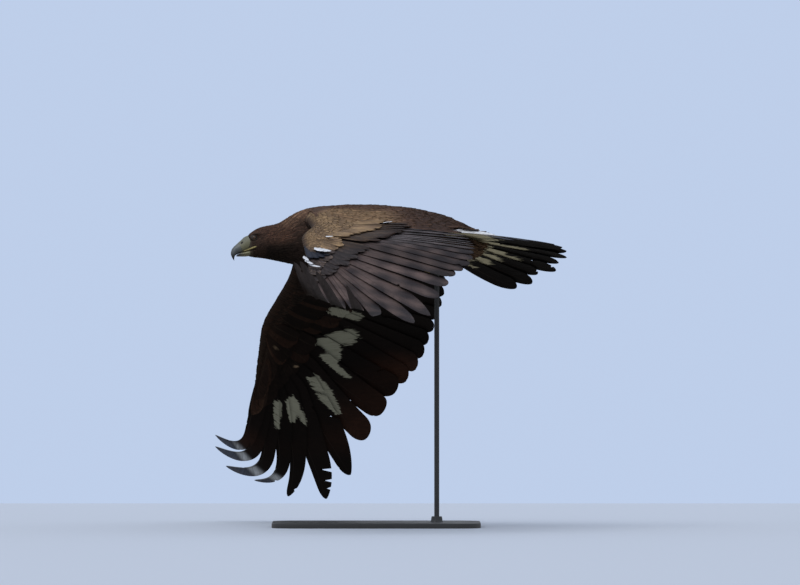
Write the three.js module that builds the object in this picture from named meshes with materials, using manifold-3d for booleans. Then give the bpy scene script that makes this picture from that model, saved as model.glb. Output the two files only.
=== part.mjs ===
// A golden eagle in flight, life size, on a plain display stand. Millimetres, +Z up; the origin is the
// middle of the base's underside. The bird flies towards -X, banked to its right, its left side towards -Y.
import * as THREE from "three";
import { mergeVertices } from "three/addons/utils/BufferGeometryUtils.js";
import Module from "manifold-3d";

const wasm = await Module();
wasm.setup();

// Driving dimensions. The bird's own frame has its origin midway between the shoulders, +X to the tail,
// +Y to its right and +Z up. A side of 1 is the bird's right and -1 its left.
const seam = 0.3;
const birdPlace = { x: -140, y: -24, z: 708, bankDeg: -16, yawDeg: 9 };
const cuts = { headNeck: -100, neckTorso: -60, torsoTail: 300, tailEnd: 366 };
const shoulder = { out: 48, up: 6.5, stubStart: -22, wingStart: 38 };
const wingPose = { rootDroopDeg: 14, armDroopDeg: 23.5, handDroopDeg: 38, camber: 20, camberChord: 330 };
const leftSweep = { from: 20, forwardPerMm: 0.03 };
const wristAt = 336;
const fleshEnd = 560;
const vaneThick = { ridge: 1.4, edge: 0.6, covert: 1 };
const shingle = { armDeg: 4, handDeg: 5.5, tailDeg: 3, covertDeg: 4 };

const rad = THREE.MathUtils.degToRad;
const point = (x, y, z) => new THREE.Vector3(x, y, z);

// A smooth line through a few [x, value] pairs, flat beyond its ends.
function lineThrough(pairs) {
  const slope = (i) => {
    const [before, after] = [pairs[Math.max(0, i - 1)], pairs[Math.min(pairs.length - 1, i + 1)]];
    return (after[1] - before[1]) / (after[0] - before[0]);
  };
  return (x) => {
    if (x <= pairs[0][0]) return pairs[0][1];
    if (x >= pairs.at(-1)[0]) return pairs.at(-1)[1];
    const i = pairs.findIndex((p) => p[0] > x) - 1;
    const width = pairs[i + 1][0] - pairs[i][0];
    const t = (x - pairs[i][0]) / width;
    const bend = slope(i) * width * t * (1 - t) ** 2 - slope(i + 1) * width * t * t * (1 - t);
    return pairs[i][1] + (pairs[i + 1][1] - pairs[i][1]) * t * t * (3 - 2 * t) + bend;
  };
}

// A closed solid from a geometry, turned to face out if its faces point in.
function solid(geometry) {
  const bare = geometry.clone();
  bare.deleteAttribute("normal");
  bare.deleteAttribute("uv");
  const merged = mergeVertices(bare, 1e-3);
  const faces = [];
  for (let i = 0; i < merged.index.count; i += 3) {
    const [a, b, c] = [0, 1, 2].map((k) => merged.index.getX(i + k));
    if (a !== b && b !== c && c !== a) faces.push([a, b, c]);
  }
  const closed = (list) =>
    new wasm.Manifold(
      new wasm.Mesh({
        numProp: 3,
        vertProperties: merged.attributes.position.array,
        triVerts: new Uint32Array(list.flat()),
      }),
    );
  const made = closed(faces);
  return made.volume() > 0 ? made : closed(faces.map(([a, b, c]) => [a, c, b]));
}

// A closed form whose rings are given by ring(t, angle), with t from 0 to 1 along it.
function loft(around, along, ring) {
  const form = new THREE.CylinderGeometry(1, 1, 1, around, along);
  const place = form.attributes.position;
  const quarters = [0, 1, 2, 3].map((k) => (k * Math.PI) / 2);
  const summed = (t) => quarters.reduce((sum, angle) => sum.add(ring(t, angle)), point(0, 0, 0));
  for (let i = 0; i < place.count; i++) {
    const [x, y, z] = [place.getX(i), place.getY(i), place.getZ(i)];
    const t = THREE.MathUtils.clamp(y + 0.5, 0, 1);
    const onRim = Math.hypot(x, z) > 0.5;
    const p = onRim ? ring(t, Math.atan2(z, x)) : summed(t).divideScalar(4);
    place.setXYZ(i, p.x, p.y, p.z);
  }
  return solid(form);
}

// A thin plate of columns x rows cells, split into triangles alike on both faces. place(s, c, face) gives a
// point for s from 0 to 1 along it, c from -1 to 1 across it and a face of 1 or -1.
function plate(columns, steps, place) {
  const rows = steps.length - 1;
  const points = [];
  for (const face of [1, -1])
    for (let i = 0; i <= rows; i++)
      for (let j = 0; j <= columns; j++) points.push(...place(steps[i], (2 * j) / columns - 1, face));
  const at = (face, i, j) => (face * (rows + 1) + i) * (columns + 1) + j;
  const index = [];
  const cell = (a, b, c, d) => index.push(a, b, c, c, b, d);
  for (let i = 0; i < rows; i++)
    for (let j = 0; j < columns; j++) {
      cell(at(0, i, j), at(0, i, j + 1), at(0, i + 1, j), at(0, i + 1, j + 1));
      index.push(at(1, i, j), at(1, i + 1, j), at(1, i, j + 1));
      index.push(at(1, i + 1, j), at(1, i + 1, j + 1), at(1, i, j + 1));
    }
  const edge = (i, j, k, l) => cell(at(0, i, j), at(0, k, l), at(1, i, j), at(1, k, l));
  for (let i = 0; i < rows; i++) {
    edge(i + 1, columns, i, columns);
    edge(i, 0, i + 1, 0);
  }
  for (let j = 0; j < columns; j++) {
    edge(0, j + 1, 0, j);
    edge(rows, j, rows, j + 1);
  }
  const form = new THREE.BufferGeometry();
  form.setAttribute("position", new THREE.Float32BufferAttribute(points, 3));
  form.setIndex(index);
  return solid(form);
}

const joined = (solids) => solids.reduce((all, one) => all.add(one));

// The largest closed surface of a solid.
const largest = (made) => made.decompose().sort((a, b) => b.volume() - a.volume())[0];

// The wing is laid out flat: a is the way out from the shoulder, b the way back and h the height over the
// sheet. The flight feathers' sheet then droops along a and is cambered along b.
const droopAt = (() => {
  const angle = lineThrough([
    [0, rad(wingPose.rootDroopDeg)],
    [60, rad(wingPose.armDroopDeg)],
    [300, rad(wingPose.armDroopDeg)],
    [420, rad(wingPose.handDroopDeg)],
    [1000, rad(wingPose.handDroopDeg)],
  ]);
  const step = 4;
  const line = [{ out: 0, up: 0 }];
  for (let a = step / 2; a < 1100; a += step) {
    const last = line.at(-1);
    line.push({ out: last.out + step * Math.cos(angle(a)), up: last.up - step * Math.sin(angle(a)) });
  }
  return (a) => {
    const i = THREE.MathUtils.clamp(Math.floor(a / step), 0, line.length - 2);
    const t = a / step - i;
    const mix = (key) => line[i][key] * (1 - t) + line[i + 1][key] * t;
    return { out: mix("out"), up: mix("up"), angle: angle(a) };
  };
})();

function onWing(side, a, b, h) {
  const { out, up, angle } = droopAt(a);
  const height = h - wingPose.camber * (Math.max(0, b) / wingPose.camberChord) ** 2;
  const sweep = side < 0 ? Math.max(0, a - leftSweep.from) * leftSweep.forwardPerMm : 0;
  return point(
    b - sweep,
    side * (shoulder.out + out + height * Math.sin(angle)),
    shoulder.up + up + height * Math.cos(angle),
  );
}

// The tail is laid out flat too: u along its axis, v towards the bird's right, h up.
const tailPose = { x: 284, y: 3, z: -14, pitchDeg: 7.3, yawDeg: -10.5, rollDeg: 0.5 };
const tailDroop = { side: 0.0009, end: 0.00017 };
const tailTurn = new THREE.Matrix4().makeRotationFromEuler(
  new THREE.Euler(rad(tailPose.rollDeg), rad(tailPose.pitchDeg), rad(tailPose.yawDeg), "ZYX"),
);
const onTail = (u, v, h) =>
  point(u, v, h - tailDroop.side * v * v - tailDroop.end * u * u)
    .applyMatrix4(tailTurn)
    .add(point(tailPose.x, tailPose.y, tailPose.z));

// A feather's vane over a sheet. Its rachis bows from root to tip, [a, b, h] each; lead and trail are the
// vane's widths to its two sides, and curl moves the end of it by [a, b, h].
const steps = { full: [0, 0.18, 0.45, 0.7, 0.9, 1], short: [0, 0.35, 0.8, 1], least: [0, 0.45, 1] };
function feather(sheet, spec) {
  const { root, tip, bow = 0, lead, trail, tilt, tipTilt = tilt } = spec;
  const { curl = [0, 0, 0], finger = 0, kind = "full" } = spec;
  const chord = [tip[0] - root[0], tip[1] - root[1]];
  const length = Math.hypot(...chord);
  const front = [chord[1] / length, -chord[0] / length];
  const middle = [0, 1].map((k) => (root[k] + tip[k]) / 2 + bow * length * front[k]);
  const rachis = new THREE.QuadraticBezierCurve(
    new THREE.Vector2(root[0], root[1]),
    new THREE.Vector2(...middle),
    new THREE.Vector2(tip[0], tip[1]),
  );
  const short = kind !== "full";
  const thick = short ? { ridge: vaneThick.covert, edge: vaneThick.covert } : vaneThick;
  const width = (s) => {
    const quill = 0.25 + 0.75 * THREE.MathUtils.smoothstep(s, 0, short ? 0.3 : 0.24);
    const round = Math.sqrt(Math.max(0.16, 1 - Math.max(0, (s - 0.78) / 0.22) ** 2.4));
    return quill * round * (1 - finger * THREE.MathUtils.smoothstep(s, 0.4, 0.68));
  };
  return plate(short ? 1 : 2, steps[kind], (s, c, face) => {
    const bend = Math.max(0, (s - 0.6) / 0.4) ** 1.9;
    const at = rachis.getPoint(s);
    const way = rachis.getTangent(s);
    const across = c * (c < 0 ? lead : trail) * width(s);
    const slope = Math.tan(rad(tilt + (tipTilt - tilt) * bend));
    const thickness = c === 0 ? thick.ridge * (1 - 0.5 * s) : thick.edge;
    const a = at.x - way.y * across + curl[0] * bend;
    const b = at.y + way.x * across + curl[1] * bend;
    const height = root[2] + (tip[2] - root[2]) * s + curl[2] * bend - across * slope;
    return sheet(a, b, height + (face * thickness) / 2);
  });
}

// Where a share t lies between two places, and a list of count such places.
const between = (from, to, t) => from.map((v, k) => v + (to[k] - v) * t);
const spread = (count, make) => Array.from({ length: count }, (_, i) => make(i, i / (count - 1)));

// Flight feathers of the arm, from the body out: each root on the bones and tip on the trailing edge.
const armRootLine = { inner: [58, 84, 0], elbow: [164, 60, 0], outer: [306, -26, 0], elbowShare: 0.25 };
function armRoots(t) {
  const { inner, elbow, outer, elbowShare } = armRootLine;
  if (t < elbowShare) return between(inner, elbow, t / elbowShare);
  return between(elbow, outer, (t - elbowShare) / (1 - elbowShare));
}
const trailingTips = [
  [74, 322], [98, 330], [124, 335], [160, 338], [200, 338], [245, 337],
  [293, 333], [343, 328], [389, 319], [431, 311], [472, 298], [510, 277],
];
const raised = (feather, h) => ({
  ...feather,
  root: [feather.root[0], feather.root[1], feather.root[2] + h],
  tip: [feather.tip[0], feather.tip[1], feather.tip[2] + h],
});
const armFlights = trailingTips.map(([a, b], i) => ({
  root: armRoots(i / (trailingTips.length - 1)),
  tip: [a, b, 0],
  bow: 0.04,
  lead: 20,
  trail: 40,
  tilt: shingle.armDeg,
})).map((one, i) => raised(one, Math.max(0, 16 - 4 * i)));

// Primaries from the wrist out. The outer ones are fingers whose ends the air curls up and forward.
const handRootLine = { inner: [352, -44, 0], outer: [502, -80, 0] };
const primaries = [
  { tip: [545, 254], bow: 0.05 },
  { tip: [610, 226], bow: 0.05 },
  { tip: [687, 194], bow: 0.05 },
  { tip: [795, 171], bow: 0.04 },
  { tip: [873, 121], bow: 0.03, curl: [0, 0, 15] },
  { tip: [886, 50], bow: 0.02, curl: [-3, -14, 45] },
  { tip: [880, 6], bow: 0.01, curl: [21, -41, 120] },
  { tip: [850, -47], bow: 0, curl: [24, -54, 140] },
  { tip: [796, -86], bow: 0, curl: [19, -47, 140] },
  { tip: [752, -110], bow: 0, curl: [9, -34, 110] },
];
const handFlights = primaries.map(({ tip, bow, curl }, i) => {
  const t = i / (primaries.length - 1);
  return {
    root: between(handRootLine.inner, handRootLine.outer, t),
    tip: [...tip, 0],
    bow,
    lead: 25 - 12 * t,
    trail: 48 - 22 * t * t,
    curl,
    finger: i > 3 ? 0.3 : 0,
    tilt: shingle.handDeg,
    tipTilt: i > 4 ? -14 : shingle.handDeg,
  };
}).map((one, i) => raised(one, -1.2 * Math.max(0, i - 4)));

// A covert over or under a flight feather: it starts near that feather's root and runs its way for a
// given length.
function covert(flight, { back, length, from, to, lead, trail, kind }) {
  const narrower = Math.min(1, flight.lead / 20);
  const run = [flight.tip[0] - flight.root[0], flight.tip[1] - flight.root[1]];
  const size = Math.hypot(...run);
  const way = [run[0] / size, run[1] / size];
  const at = (run, h) => [flight.root[0] + way[0] * run, flight.root[1] + way[1] * run, flight.root[2] + h];
  return {
    root: at(back, from),
    tip: at(back + length, to),
    bow: 0.04,
    lead: lead * narrower,
    trail,
    tilt: shingle.covertDeg,
    kind,
  };
}
const upperRows = [
  { every: 1, back: -12, length: 138, from: 5.5, to: 7.5, lead: 15, trail: 22, kind: "short" },
  { every: 2, back: -34, length: 96, from: 8, to: 12.5, lead: 26, trail: 34, kind: "least" },
];
const underRows = [
  { every: 2, back: -8, length: 118, from: -5, to: -8, lead: 26, trail: 36, kind: "least" },
];
const covertsOf = (flights, first = 0) =>
  [...upperRows, ...underRows].flatMap((row) =>
    flights.filter((_, i) => (i + first) % row.every === 0).map((flight) => covert(flight, row)),
  );

// The flesh of the wing: a tapered section from leading to trailing line, thick in front.
const leadingLine = lineThrough([
  [0, -40], [60, -37], [165, -43], [260, -66], [344, -87], [420, -90], [fleshEnd, -92],
]);
const trailingLine = lineThrough([
  [0, 126], [60, 118], [164, 86], [250, 38], [336, -2], [420, -30], [520, -64], [fleshEnd, -80],
]);
const fleshThick = lineThrough([[0, 54], [60, 50], [164, 34], [336, 22], [480, 14], [fleshEnd, 6]]);
const overBone = 0.62;
function wingFlesh(side, from, to, along, grown = 0) {
  return loft(12, along, (t, angle) => {
    const a = from + (to - from) * t;
    const [front, back] = [leadingLine(a) - grown, trailingLine(a) + grown];
    const b = (front + back) / 2 - (Math.cos(angle) * (back - front)) / 2;
    const part = Math.sin(angle) > 0 ? overBone : 1 - overBone;
    const h = Math.sin(angle) * (fleshThick(a) * part * (0.72 + 0.5 * Math.cos(angle)) + grown);
    return onWing(side, a, b, h + 1);
  });
}

// The arm is cut back from the body and from the torso's own start of the wing.
const vanes = (side, specs) => specs.map((spec) => feather((a, b, h) => onWing(side, a, b, h), spec));
const clear = seam + 0.1;
const wingStub = (side, to, grown) => wingFlesh(side, shoulder.stubStart, to, 2, grown);
const wingArm = (side) =>
  joined([
    wingFlesh(side, shoulder.wingStart, wristAt - seam / 2, 6),
    ...vanes(side, [...armFlights, ...covertsOf(armFlights)]),
  ])
    .subtract(bodyPart(cuts.neckTorso, cuts.tailEnd, 12, 20, clear))
    .subtract(wingStub(side, shoulder.wingStart - 0.01, clear));

// The alula's thumb lies on the hand's leading edge.
const thumb = { from: 348, to: 386, b: -88, h: 13, thick: 5 };
const thumbForm = (side, grown) =>
  loft(7, 2, (t, angle) => {
    const r = thumb.thick * (1 - 0.35 * t) + grown;
    const a = thumb.from - grown + (thumb.to - thumb.from + 2 * grown) * t;
    return onWing(side, a, thumb.b + Math.cos(angle) * r, thumb.h + Math.sin(angle) * r);
  });
const alulaFan = {
  root: [360, -86, 15.6], rootStep: [9, -2, -2],
  tip: [446, -87, 23], tipStep: [22, -4, -3],
};
const stepped = (start, step, i) => start.map((v, k) => v + step[k] * i);
const alulaFeathers = spread(3, (i) => ({
  root: stepped(alulaFan.root, alulaFan.rootStep, i),
  tip: stepped(alulaFan.tip, alulaFan.tipStep, i),
  lead: 6,
  trail: 13,
  tilt: 6,
  kind: "least",
}));
const alula = (side) => joined([thumbForm(side, 0), ...vanes(side, alulaFeathers)]);
const wingHand = (side) =>
  joined([
    wingFlesh(side, wristAt + seam / 2, fleshEnd, 4),
    ...vanes(side, [...handFlights, ...covertsOf(handFlights, 1)]),
  ]).subtract(thumbForm(side, seam));

// Head, neck, torso and tail root share one outline: top, bottom and half width along x.
const bodyTop = lineThrough([
  [-182, -22], [-166, -6], [-150, 5], [-134, 11], [-100, 18], [-78, 29], [-55, 43], [-20, 55], [40, 61],
  [100, 63], [160, 61], [230, 54], [290, 41], [330, 26], [366, 8],
]);
const bodyBottom = lineThrough([
  [-182, -52], [-166, -60], [-134, -64], [-100, -70], [-55, -79], [-20, -91], [40, -108], [100, -113],
  [160, -109], [230, -96], [290, -76], [330, -58], [366, -36],
]);
const bodyHalfWidth = lineThrough([
  [-182, 13], [-166, 22], [-150, 27.5], [-134, 31], [-100, 36], [-78, 43], [-55, 54], [-20, 68], [40, 80],
  [100, 84], [160, 81], [230, 70], [290, 55], [330, 44], [366, 30],
]);
const bodyPart = (from, to, along, around = 20, grown = 0) =>
  loft(around, along, (t, angle) => {
    const x = from + (to - from) * t;
    const [top, bottom] = [bodyTop(x) + grown, bodyBottom(x) - grown];
    const middle = top * 0.46 + bottom * 0.54;
    const up = Math.sin(angle);
    const halfWidth = bodyHalfWidth(x) + grown;
    return point(x, Math.cos(angle) * halfWidth, middle + up * (up > 0 ? top - middle : middle - bottom));
  });

// Bill, cere and lower mandible: rings between an upper and a lower curve in the bird's middle plane.
const planeCurve = (pairs) => new THREE.CatmullRomCurve3(pairs.map(([x, z]) => point(x, 0, z)));
const culmen = planeCurve([
  [-168, -9], [-180, -15], [-191, -25], [-202, -34], [-210, -43], [-213, -53], [-211, -62], [-206, -72],
]);
const tomium = planeCurve([
  [-158, -43], [-170, -47], [-181, -50.5], [-190, -53], [-197, -55.5], [-202.5, -59], [-205, -65],
  [-205.6, -71.5],
]);
const billHalfWidth = lineThrough([[0, 18], [0.2, 15], [0.4, 12], [0.6, 8.5], [0.8, 5.5], [1, 1]]);
const cereShare = { from: 0.07, to: 0.33 };
function billPart(from, to, along, grown = 0) {
  return loft(12, along, (t, angle) => {
    const share = from + (to - from) * t;
    const [top, bottom] = [culmen.getPoint(share), tomium.getPoint(share)];
    const middle = top.clone().add(bottom).multiplyScalar(0.5);
    const arm = top.clone().sub(middle);
    arm.setLength(arm.length() + grown);
    const across = Math.cos(angle) * (billHalfWidth(share) + grown);
    return middle.addScaledVector(arm, Math.sin(angle)).add(point(0, across, 0));
  });
}
const lowerTop = planeCurve([
  [-154, -43.5], [-170, -48.5], [-181, -51.7], [-190, -54.4], [-197, -57], [-200, -59.5],
]);
const lowerBottom = planeCurve([
  [-154, -56], [-170, -59.5], [-181, -60.5], [-190, -60.5], [-197, -60.5], [-200, -60.7],
]);
const lowerHalfWidth = lineThrough([[0, 15], [0.4, 11.5], [0.75, 8], [1, 3.5]]);
const mandible = (grown) =>
  loft(10, 5, (t, angle) => {
    const [top, bottom] = [lowerTop.getPoint(t), lowerBottom.getPoint(t)];
    const middle = top.clone().add(bottom).multiplyScalar(0.5);
    const arm = top.clone().sub(middle);
    arm.setLength(arm.length() + grown);
    const across = Math.cos(angle) * (lowerHalfWidth(t) + grown);
    return middle.addScaledVector(arm, Math.sin(angle)).add(point(0, across, 0));
  });

const ellipsoid = (centre, [rx, ry, rz], turn = new THREE.Euler(), across = 12, down = 8) => {
  const form = new THREE.SphereGeometry(1, across, down);
  form.applyMatrix4(
    new THREE.Matrix4().compose(centre, new THREE.Quaternion().setFromEuler(turn), point(rx, ry, rz)),
  );
  return solid(form);
};
// Eyes under bony brows, each with a raised lid round it.
const eye = { x: -158, y: 18.6, z: -21, r: 8.6 };
const brow = { forward: 1, y: 21.5, above: 10.5, size: [20, 6, 4], noseDownDeg: -4, outDeg: 16 };
const lid = { y: 23.2, thick: 1.7 };
const eyeCentre = (side) => point(eye.x, side * eye.y, eye.z);
const eyeBall = (side) => ellipsoid(eyeCentre(side), [eye.r, eye.r, eye.r]);
const eyeSocket = (side) => ellipsoid(eyeCentre(side), [1, 1, 1].map(() => eye.r + seam));
function browForm(side) {
  const centre = point(eye.x + brow.forward, side * brow.y, eye.z + brow.above);
  const turn = new THREE.Euler(0, rad(brow.noseDownDeg), side * rad(brow.outDeg));
  return ellipsoid(centre, brow.size, turn, 10, 6);
}
function lidForm(side) {
  const rim = new THREE.TorusGeometry(eye.r, lid.thick, 5, 12);
  rim.rotateX(rad(90));
  rim.translate(eye.x, side * lid.y, eye.z);
  return solid(rim);
}
const without = (whole, cutters) => cutters.reduce((left, one) => left.subtract(one), whole);
const faceAt = -182;
function head() {
  const sides = [1, -1];
  const skull = bodyPart(faceAt, cuts.headNeck - seam / 2, 9);
  const whole = joined([skull, ...sides.map(browForm), ...sides.map(lidForm)]);
  return without(whole, [...sides.map(eyeSocket), billPart(cereShare.from, 0.5, 5, seam), mandible(seam)]);
}
const nostril = { x: -187, y: 13, z: -31, size: [2.2, 3.2, 4.4], turnDeg: 28 };
function cere() {
  const nostrils = [1, -1].map((side) => {
    const centre = point(nostril.x, side * nostril.y, nostril.z);
    return ellipsoid(centre, nostril.size, new THREE.Euler(0, rad(nostril.turnDeg), 0), 8, 6);
  });
  return without(billPart(cereShare.from, cereShare.to, 4), nostrils);
}

// Legs lie back along the belly, with the feet shut under the tail.
const legLine = { from: [132, 45, -70], to: [231, 31, -79] };
const legRadius = lineThrough([[0, 12], [0.25, 30], [0.6, 26], [1, 12]]);
const leg = (side, grown) =>
  loft(10, 5, (t, angle) => {
    const r = legRadius(t) + grown;
    const [x, y, z] = between(legLine.from, legLine.to, t * (1 + grown / 100));
    return point(x, side * (y + Math.cos(angle) * r * 0.72), z + Math.sin(angle) * r);
  });
const ankle = { x: 238, y: 31, z: -79 };
const toeRun = {
  inner: [[0, -6, -1], [13, -12, -4], [25, -15, -6], [33, -15, -11]],
  middle: [[0, 0, -2], [17, 0, -7], [32, 0, -9], [41, 0, -15]],
  outer: [[0, 6, -1], [13, 12, -3], [25, 14, -5], [33, 14, -10]],
  hind: [[-2, 1, -4], [4, 1, -14], [11, 1, -19], [18, 1, -21]],
};
const clawRun = {
  inner: [[33.8, -15, -12.4], [35, -15, -20], [29, -14, -26]],
  middle: [[41.8, 0, -16.4], [43, 0, -25], [36, 0, -32]],
  outer: [[33.8, 14, -11.4], [35, 14, -19], [29, 13, -25]],
  hind: [[19.6, 1, -21.4], [27, 1, -25], [31, 1, -32]],
};
const fromAnkle = (run) => run.map(([x, y, z]) => [ankle.x + x, ankle.y + y, ankle.z + z]);
const tube = (pairs, side, around, along, radius) => {
  const path = new THREE.CatmullRomCurve3(pairs.map(([x, y, z]) => point(x, side * y, z)));
  const frames = path.computeFrenetFrames(along);
  return loft(around, along, (t, angle) => {
    const i = Math.round(t * along);
    return path
      .getPoint(t)
      .addScaledVector(frames.normals[i], Math.cos(angle) * radius(t))
      .addScaledVector(frames.binormals[i], Math.sin(angle) * radius(t));
  });
};
const toe = (side, name, grown) => tube(fromAnkle(toeRun[name]), side, 6, 3, (t) => 6.4 - 2 * t + grown);
const palm = [9, 12, 8];
const footPocket = { back: 16, below: 8, size: [40, 23, 24] };
const footForm = (side, grown) =>
  joined([
    ellipsoid(point(ankle.x, side * ankle.y, ankle.z), palm.map((r) => r + grown), new THREE.Euler(), 8, 6),
    ...Object.keys(toeRun).map((name) => toe(side, name, grown)),
  ]);
const foot = (side) => footForm(side, 0).subtract(leg(side, seam));
const claw = (side, name) =>
  tube(fromAnkle(clawRun[name]), side, 6, 3, (t) => 3.6 - 3.2 * t).subtract(toe(side, name, seam));
const pocket = (side) =>
  ellipsoid(point(ankle.x + footPocket.back, side * ankle.y, ankle.z - footPocket.below), footPocket.size);
const tucked = (side) => [leg(side, seam), pocket(side)];

// The stand's rod goes up into the torso, where it has a socket.
const rodLine = { x: 145, y: 0, radius: 6, above: 676 };
const birdMatrix = new THREE.Matrix4()
  .makeRotationFromEuler(new THREE.Euler(rad(birdPlace.bankDeg), 0, rad(birdPlace.yawDeg), "ZYX"))
  .setPosition(birdPlace.x, birdPlace.y, birdPlace.z);
const baseSize = { long: 500, deep: 340, thick: 12, corner: 60, bevel: 2 };
const boss = { top: 13, bottom: 17, height: 18, sunk: 4.3 };
function rodForm(grown) {
  const bottom = baseSize.thick + boss.height - boss.sunk + seam;
  const height = rodLine.above + grown - bottom;
  const form = new THREE.CylinderGeometry(rodLine.radius + grown, rodLine.radius + grown, height, 16);
  form.rotateX(rad(90));
  form.translate(rodLine.x, rodLine.y, bottom + height / 2);
  return form;
}

// The shoulders of the torso are the start of each wing's flesh, cut where the wing begins.
function torso() {
  const stubs = [1, -1].map((side) => wingStub(side, shoulder.wingStart - seam, 0));
  const socket = rodForm(seam).applyMatrix4(birdMatrix.clone().invert());
  const whole = joined([bodyPart(cuts.neckTorso + seam / 2, cuts.torsoTail - seam / 2, 8), ...stubs]);
  return without(whole, [...tucked(1), ...tucked(-1), solid(socket)]);
}

// Twelve tail feathers fan out, the middle pair on top, with a row of coverts above and below their roots.
const tailFan = {
  halfDeg: 47, count: 12, length: 320, root: 26, rounding: 0.1, bow: 0.17,
  stack: 1, leftOver: 3, wide: 32, narrow: 21,
};
const wornTips = { 7: 0.965, 9: 0.93 };
function tailFeathers() {
  return spread(tailFan.count, (i, t) => {
    const share = 2 * t - 1;
    const angle = rad(tailFan.halfDeg * share);
    const out = Math.sign(share);
    const reach = tailFan.length * (1 - tailFan.rounding * share * share) * (wornTips[i] ?? 1);
    const fromMiddle = Math.abs(i - (tailFan.count - 1) / 2) - 0.5;
    const lifted = (out < 0 ? tailFan.leftOver : 0) - tailFan.stack * fromMiddle;
    const at = (r, h) => [r * Math.cos(angle), r * Math.sin(angle), h + lifted];
    return {
      root: at(tailFan.root, 0),
      tip: at(reach, 0),
      bow: -tailFan.bow * share,
      lead: out > 0 ? tailFan.wide : tailFan.narrow,
      trail: out > 0 ? tailFan.narrow : tailFan.wide,
      tilt: -out * shingle.tailDeg,
    };
  });
}
const tailCovertRows = [
  { count: 6, halfDeg: 34, from: 8, to: 12, length: 132 },
  { count: 6, halfDeg: 38, from: -11, to: -15, length: 142 },
];
function tailCoverts({ count, halfDeg, from, to, length }) {
  return spread(count, (_, t) => {
    const angle = rad(halfDeg * (2 * t - 1));
    const at = (r, h) => [r * Math.cos(angle), r * Math.sin(angle), h];
    const tilt = shingle.covertDeg * Math.sign(0.5 - t);
    return { root: at(tailFan.root, from), tip: at(length, to), lead: 20, trail: 20, tilt, kind: "short" };
  });
}
function tail() {
  const specs = [...tailFeathers(), ...tailCovertRows.flatMap(tailCoverts)];
  const stump = bodyPart(cuts.torsoTail, cuts.tailEnd, 3, 16);
  return joined([stump, ...specs.map((spec) => feather(onTail, spec))])
    .trimByPlane([1, 0, 0], cuts.torsoTail + seam / 2);
}

// The stand: a flat plate with round corners, a boss and one rod.
function standBase() {
  const { long, deep, corner, bevel, thick } = baseSize;
  const [x, y] = [long / 2 - corner - bevel, deep / 2 - corner - bevel];
  const outline = new THREE.Shape();
  outline.absarc(x, y, corner, 0, Math.PI / 2);
  outline.absarc(-x, y, corner, Math.PI / 2, Math.PI);
  outline.absarc(-x, -y, corner, Math.PI, 1.5 * Math.PI);
  outline.absarc(x, -y, corner, 1.5 * Math.PI, 2 * Math.PI);
  const slab = new THREE.ExtrudeGeometry(outline, {
    depth: thick - 2 * bevel,
    bevelThickness: bevel,
    bevelSize: bevel,
    bevelSegments: 1,
    curveSegments: 5,
  });
  slab.translate(0, 0, bevel);
  const collar = new THREE.CylinderGeometry(boss.top, boss.bottom, boss.height, 16);
  collar.rotateX(rad(90));
  collar.translate(rodLine.x, rodLine.y, thick - boss.sunk + boss.height / 2);
  return solid(slab).add(solid(collar));
}

const colours = {
  plumage: [0x3a2a20, 0.85], gold: [0x8a6a45, 0.8], flight: [0x2a211c, 0.7], bill: [0x3b4148, 0.35],
  yellow: [0xb79a3e, 0.5], claw: [0x17171a, 0.3], eye: [0x5a3514, 0.1], metal: [0x3a3d40, 0.4],
};
function mesh(name, colour, made) {
  const shape = largest(made).getMesh();
  const form = new THREE.BufferGeometry();
  form.setAttribute("position", new THREE.BufferAttribute(new Float32Array(shape.vertProperties), 3));
  form.setIndex(new THREE.BufferAttribute(new Uint32Array(shape.triVerts), 1));
  const [color, roughness] = colours[colour];
  const metalness = colour === "metal" ? 0.8 : 0;
  const one = new THREE.Mesh(form, new THREE.MeshStandardMaterial({ color, roughness, metalness }));
  one.name = name;
  return one;
}

const bird = new THREE.Group();
bird.applyMatrix4(birdMatrix);
bird.add(
  mesh("head", "plumage", head()),
  mesh("neck", "gold", bodyPart(cuts.headNeck + seam / 2, cuts.neckTorso - seam / 2, 3)),
  mesh("torso", "plumage", torso()),
  mesh("tail", "flight", tail()),
  mesh("cere", "yellow", cere()),
  mesh("bill_upper", "bill", billPart(cereShare.to + 0.005, 1, 8)),
  mesh("bill_lower", "bill", mandible(0)),
);
for (const [label, side] of [["left", -1], ["right", 1]]) {
  bird.add(
    mesh("eye_" + label, "eye", eyeBall(side)),
    mesh("wing_" + label + "_arm", "flight", wingArm(side)),
    mesh("wing_" + label + "_hand", "flight", wingHand(side)),
    mesh("wing_" + label + "_alula", "flight", alula(side)),
    mesh("leg_" + label, "plumage", leg(side, 0)),
    mesh("foot_" + label, "yellow", foot(side)),
    ...Object.keys(clawRun).map((name) => mesh("claw_" + label + "_" + name, "claw", claw(side, name))),
  );
}

const eagle = new THREE.Group();
eagle.add(
  bird,
  mesh("stand_base", "metal", standBase()),
  mesh("stand_rod", "metal", solid(rodForm(0))),
);
export default eagle;
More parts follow.
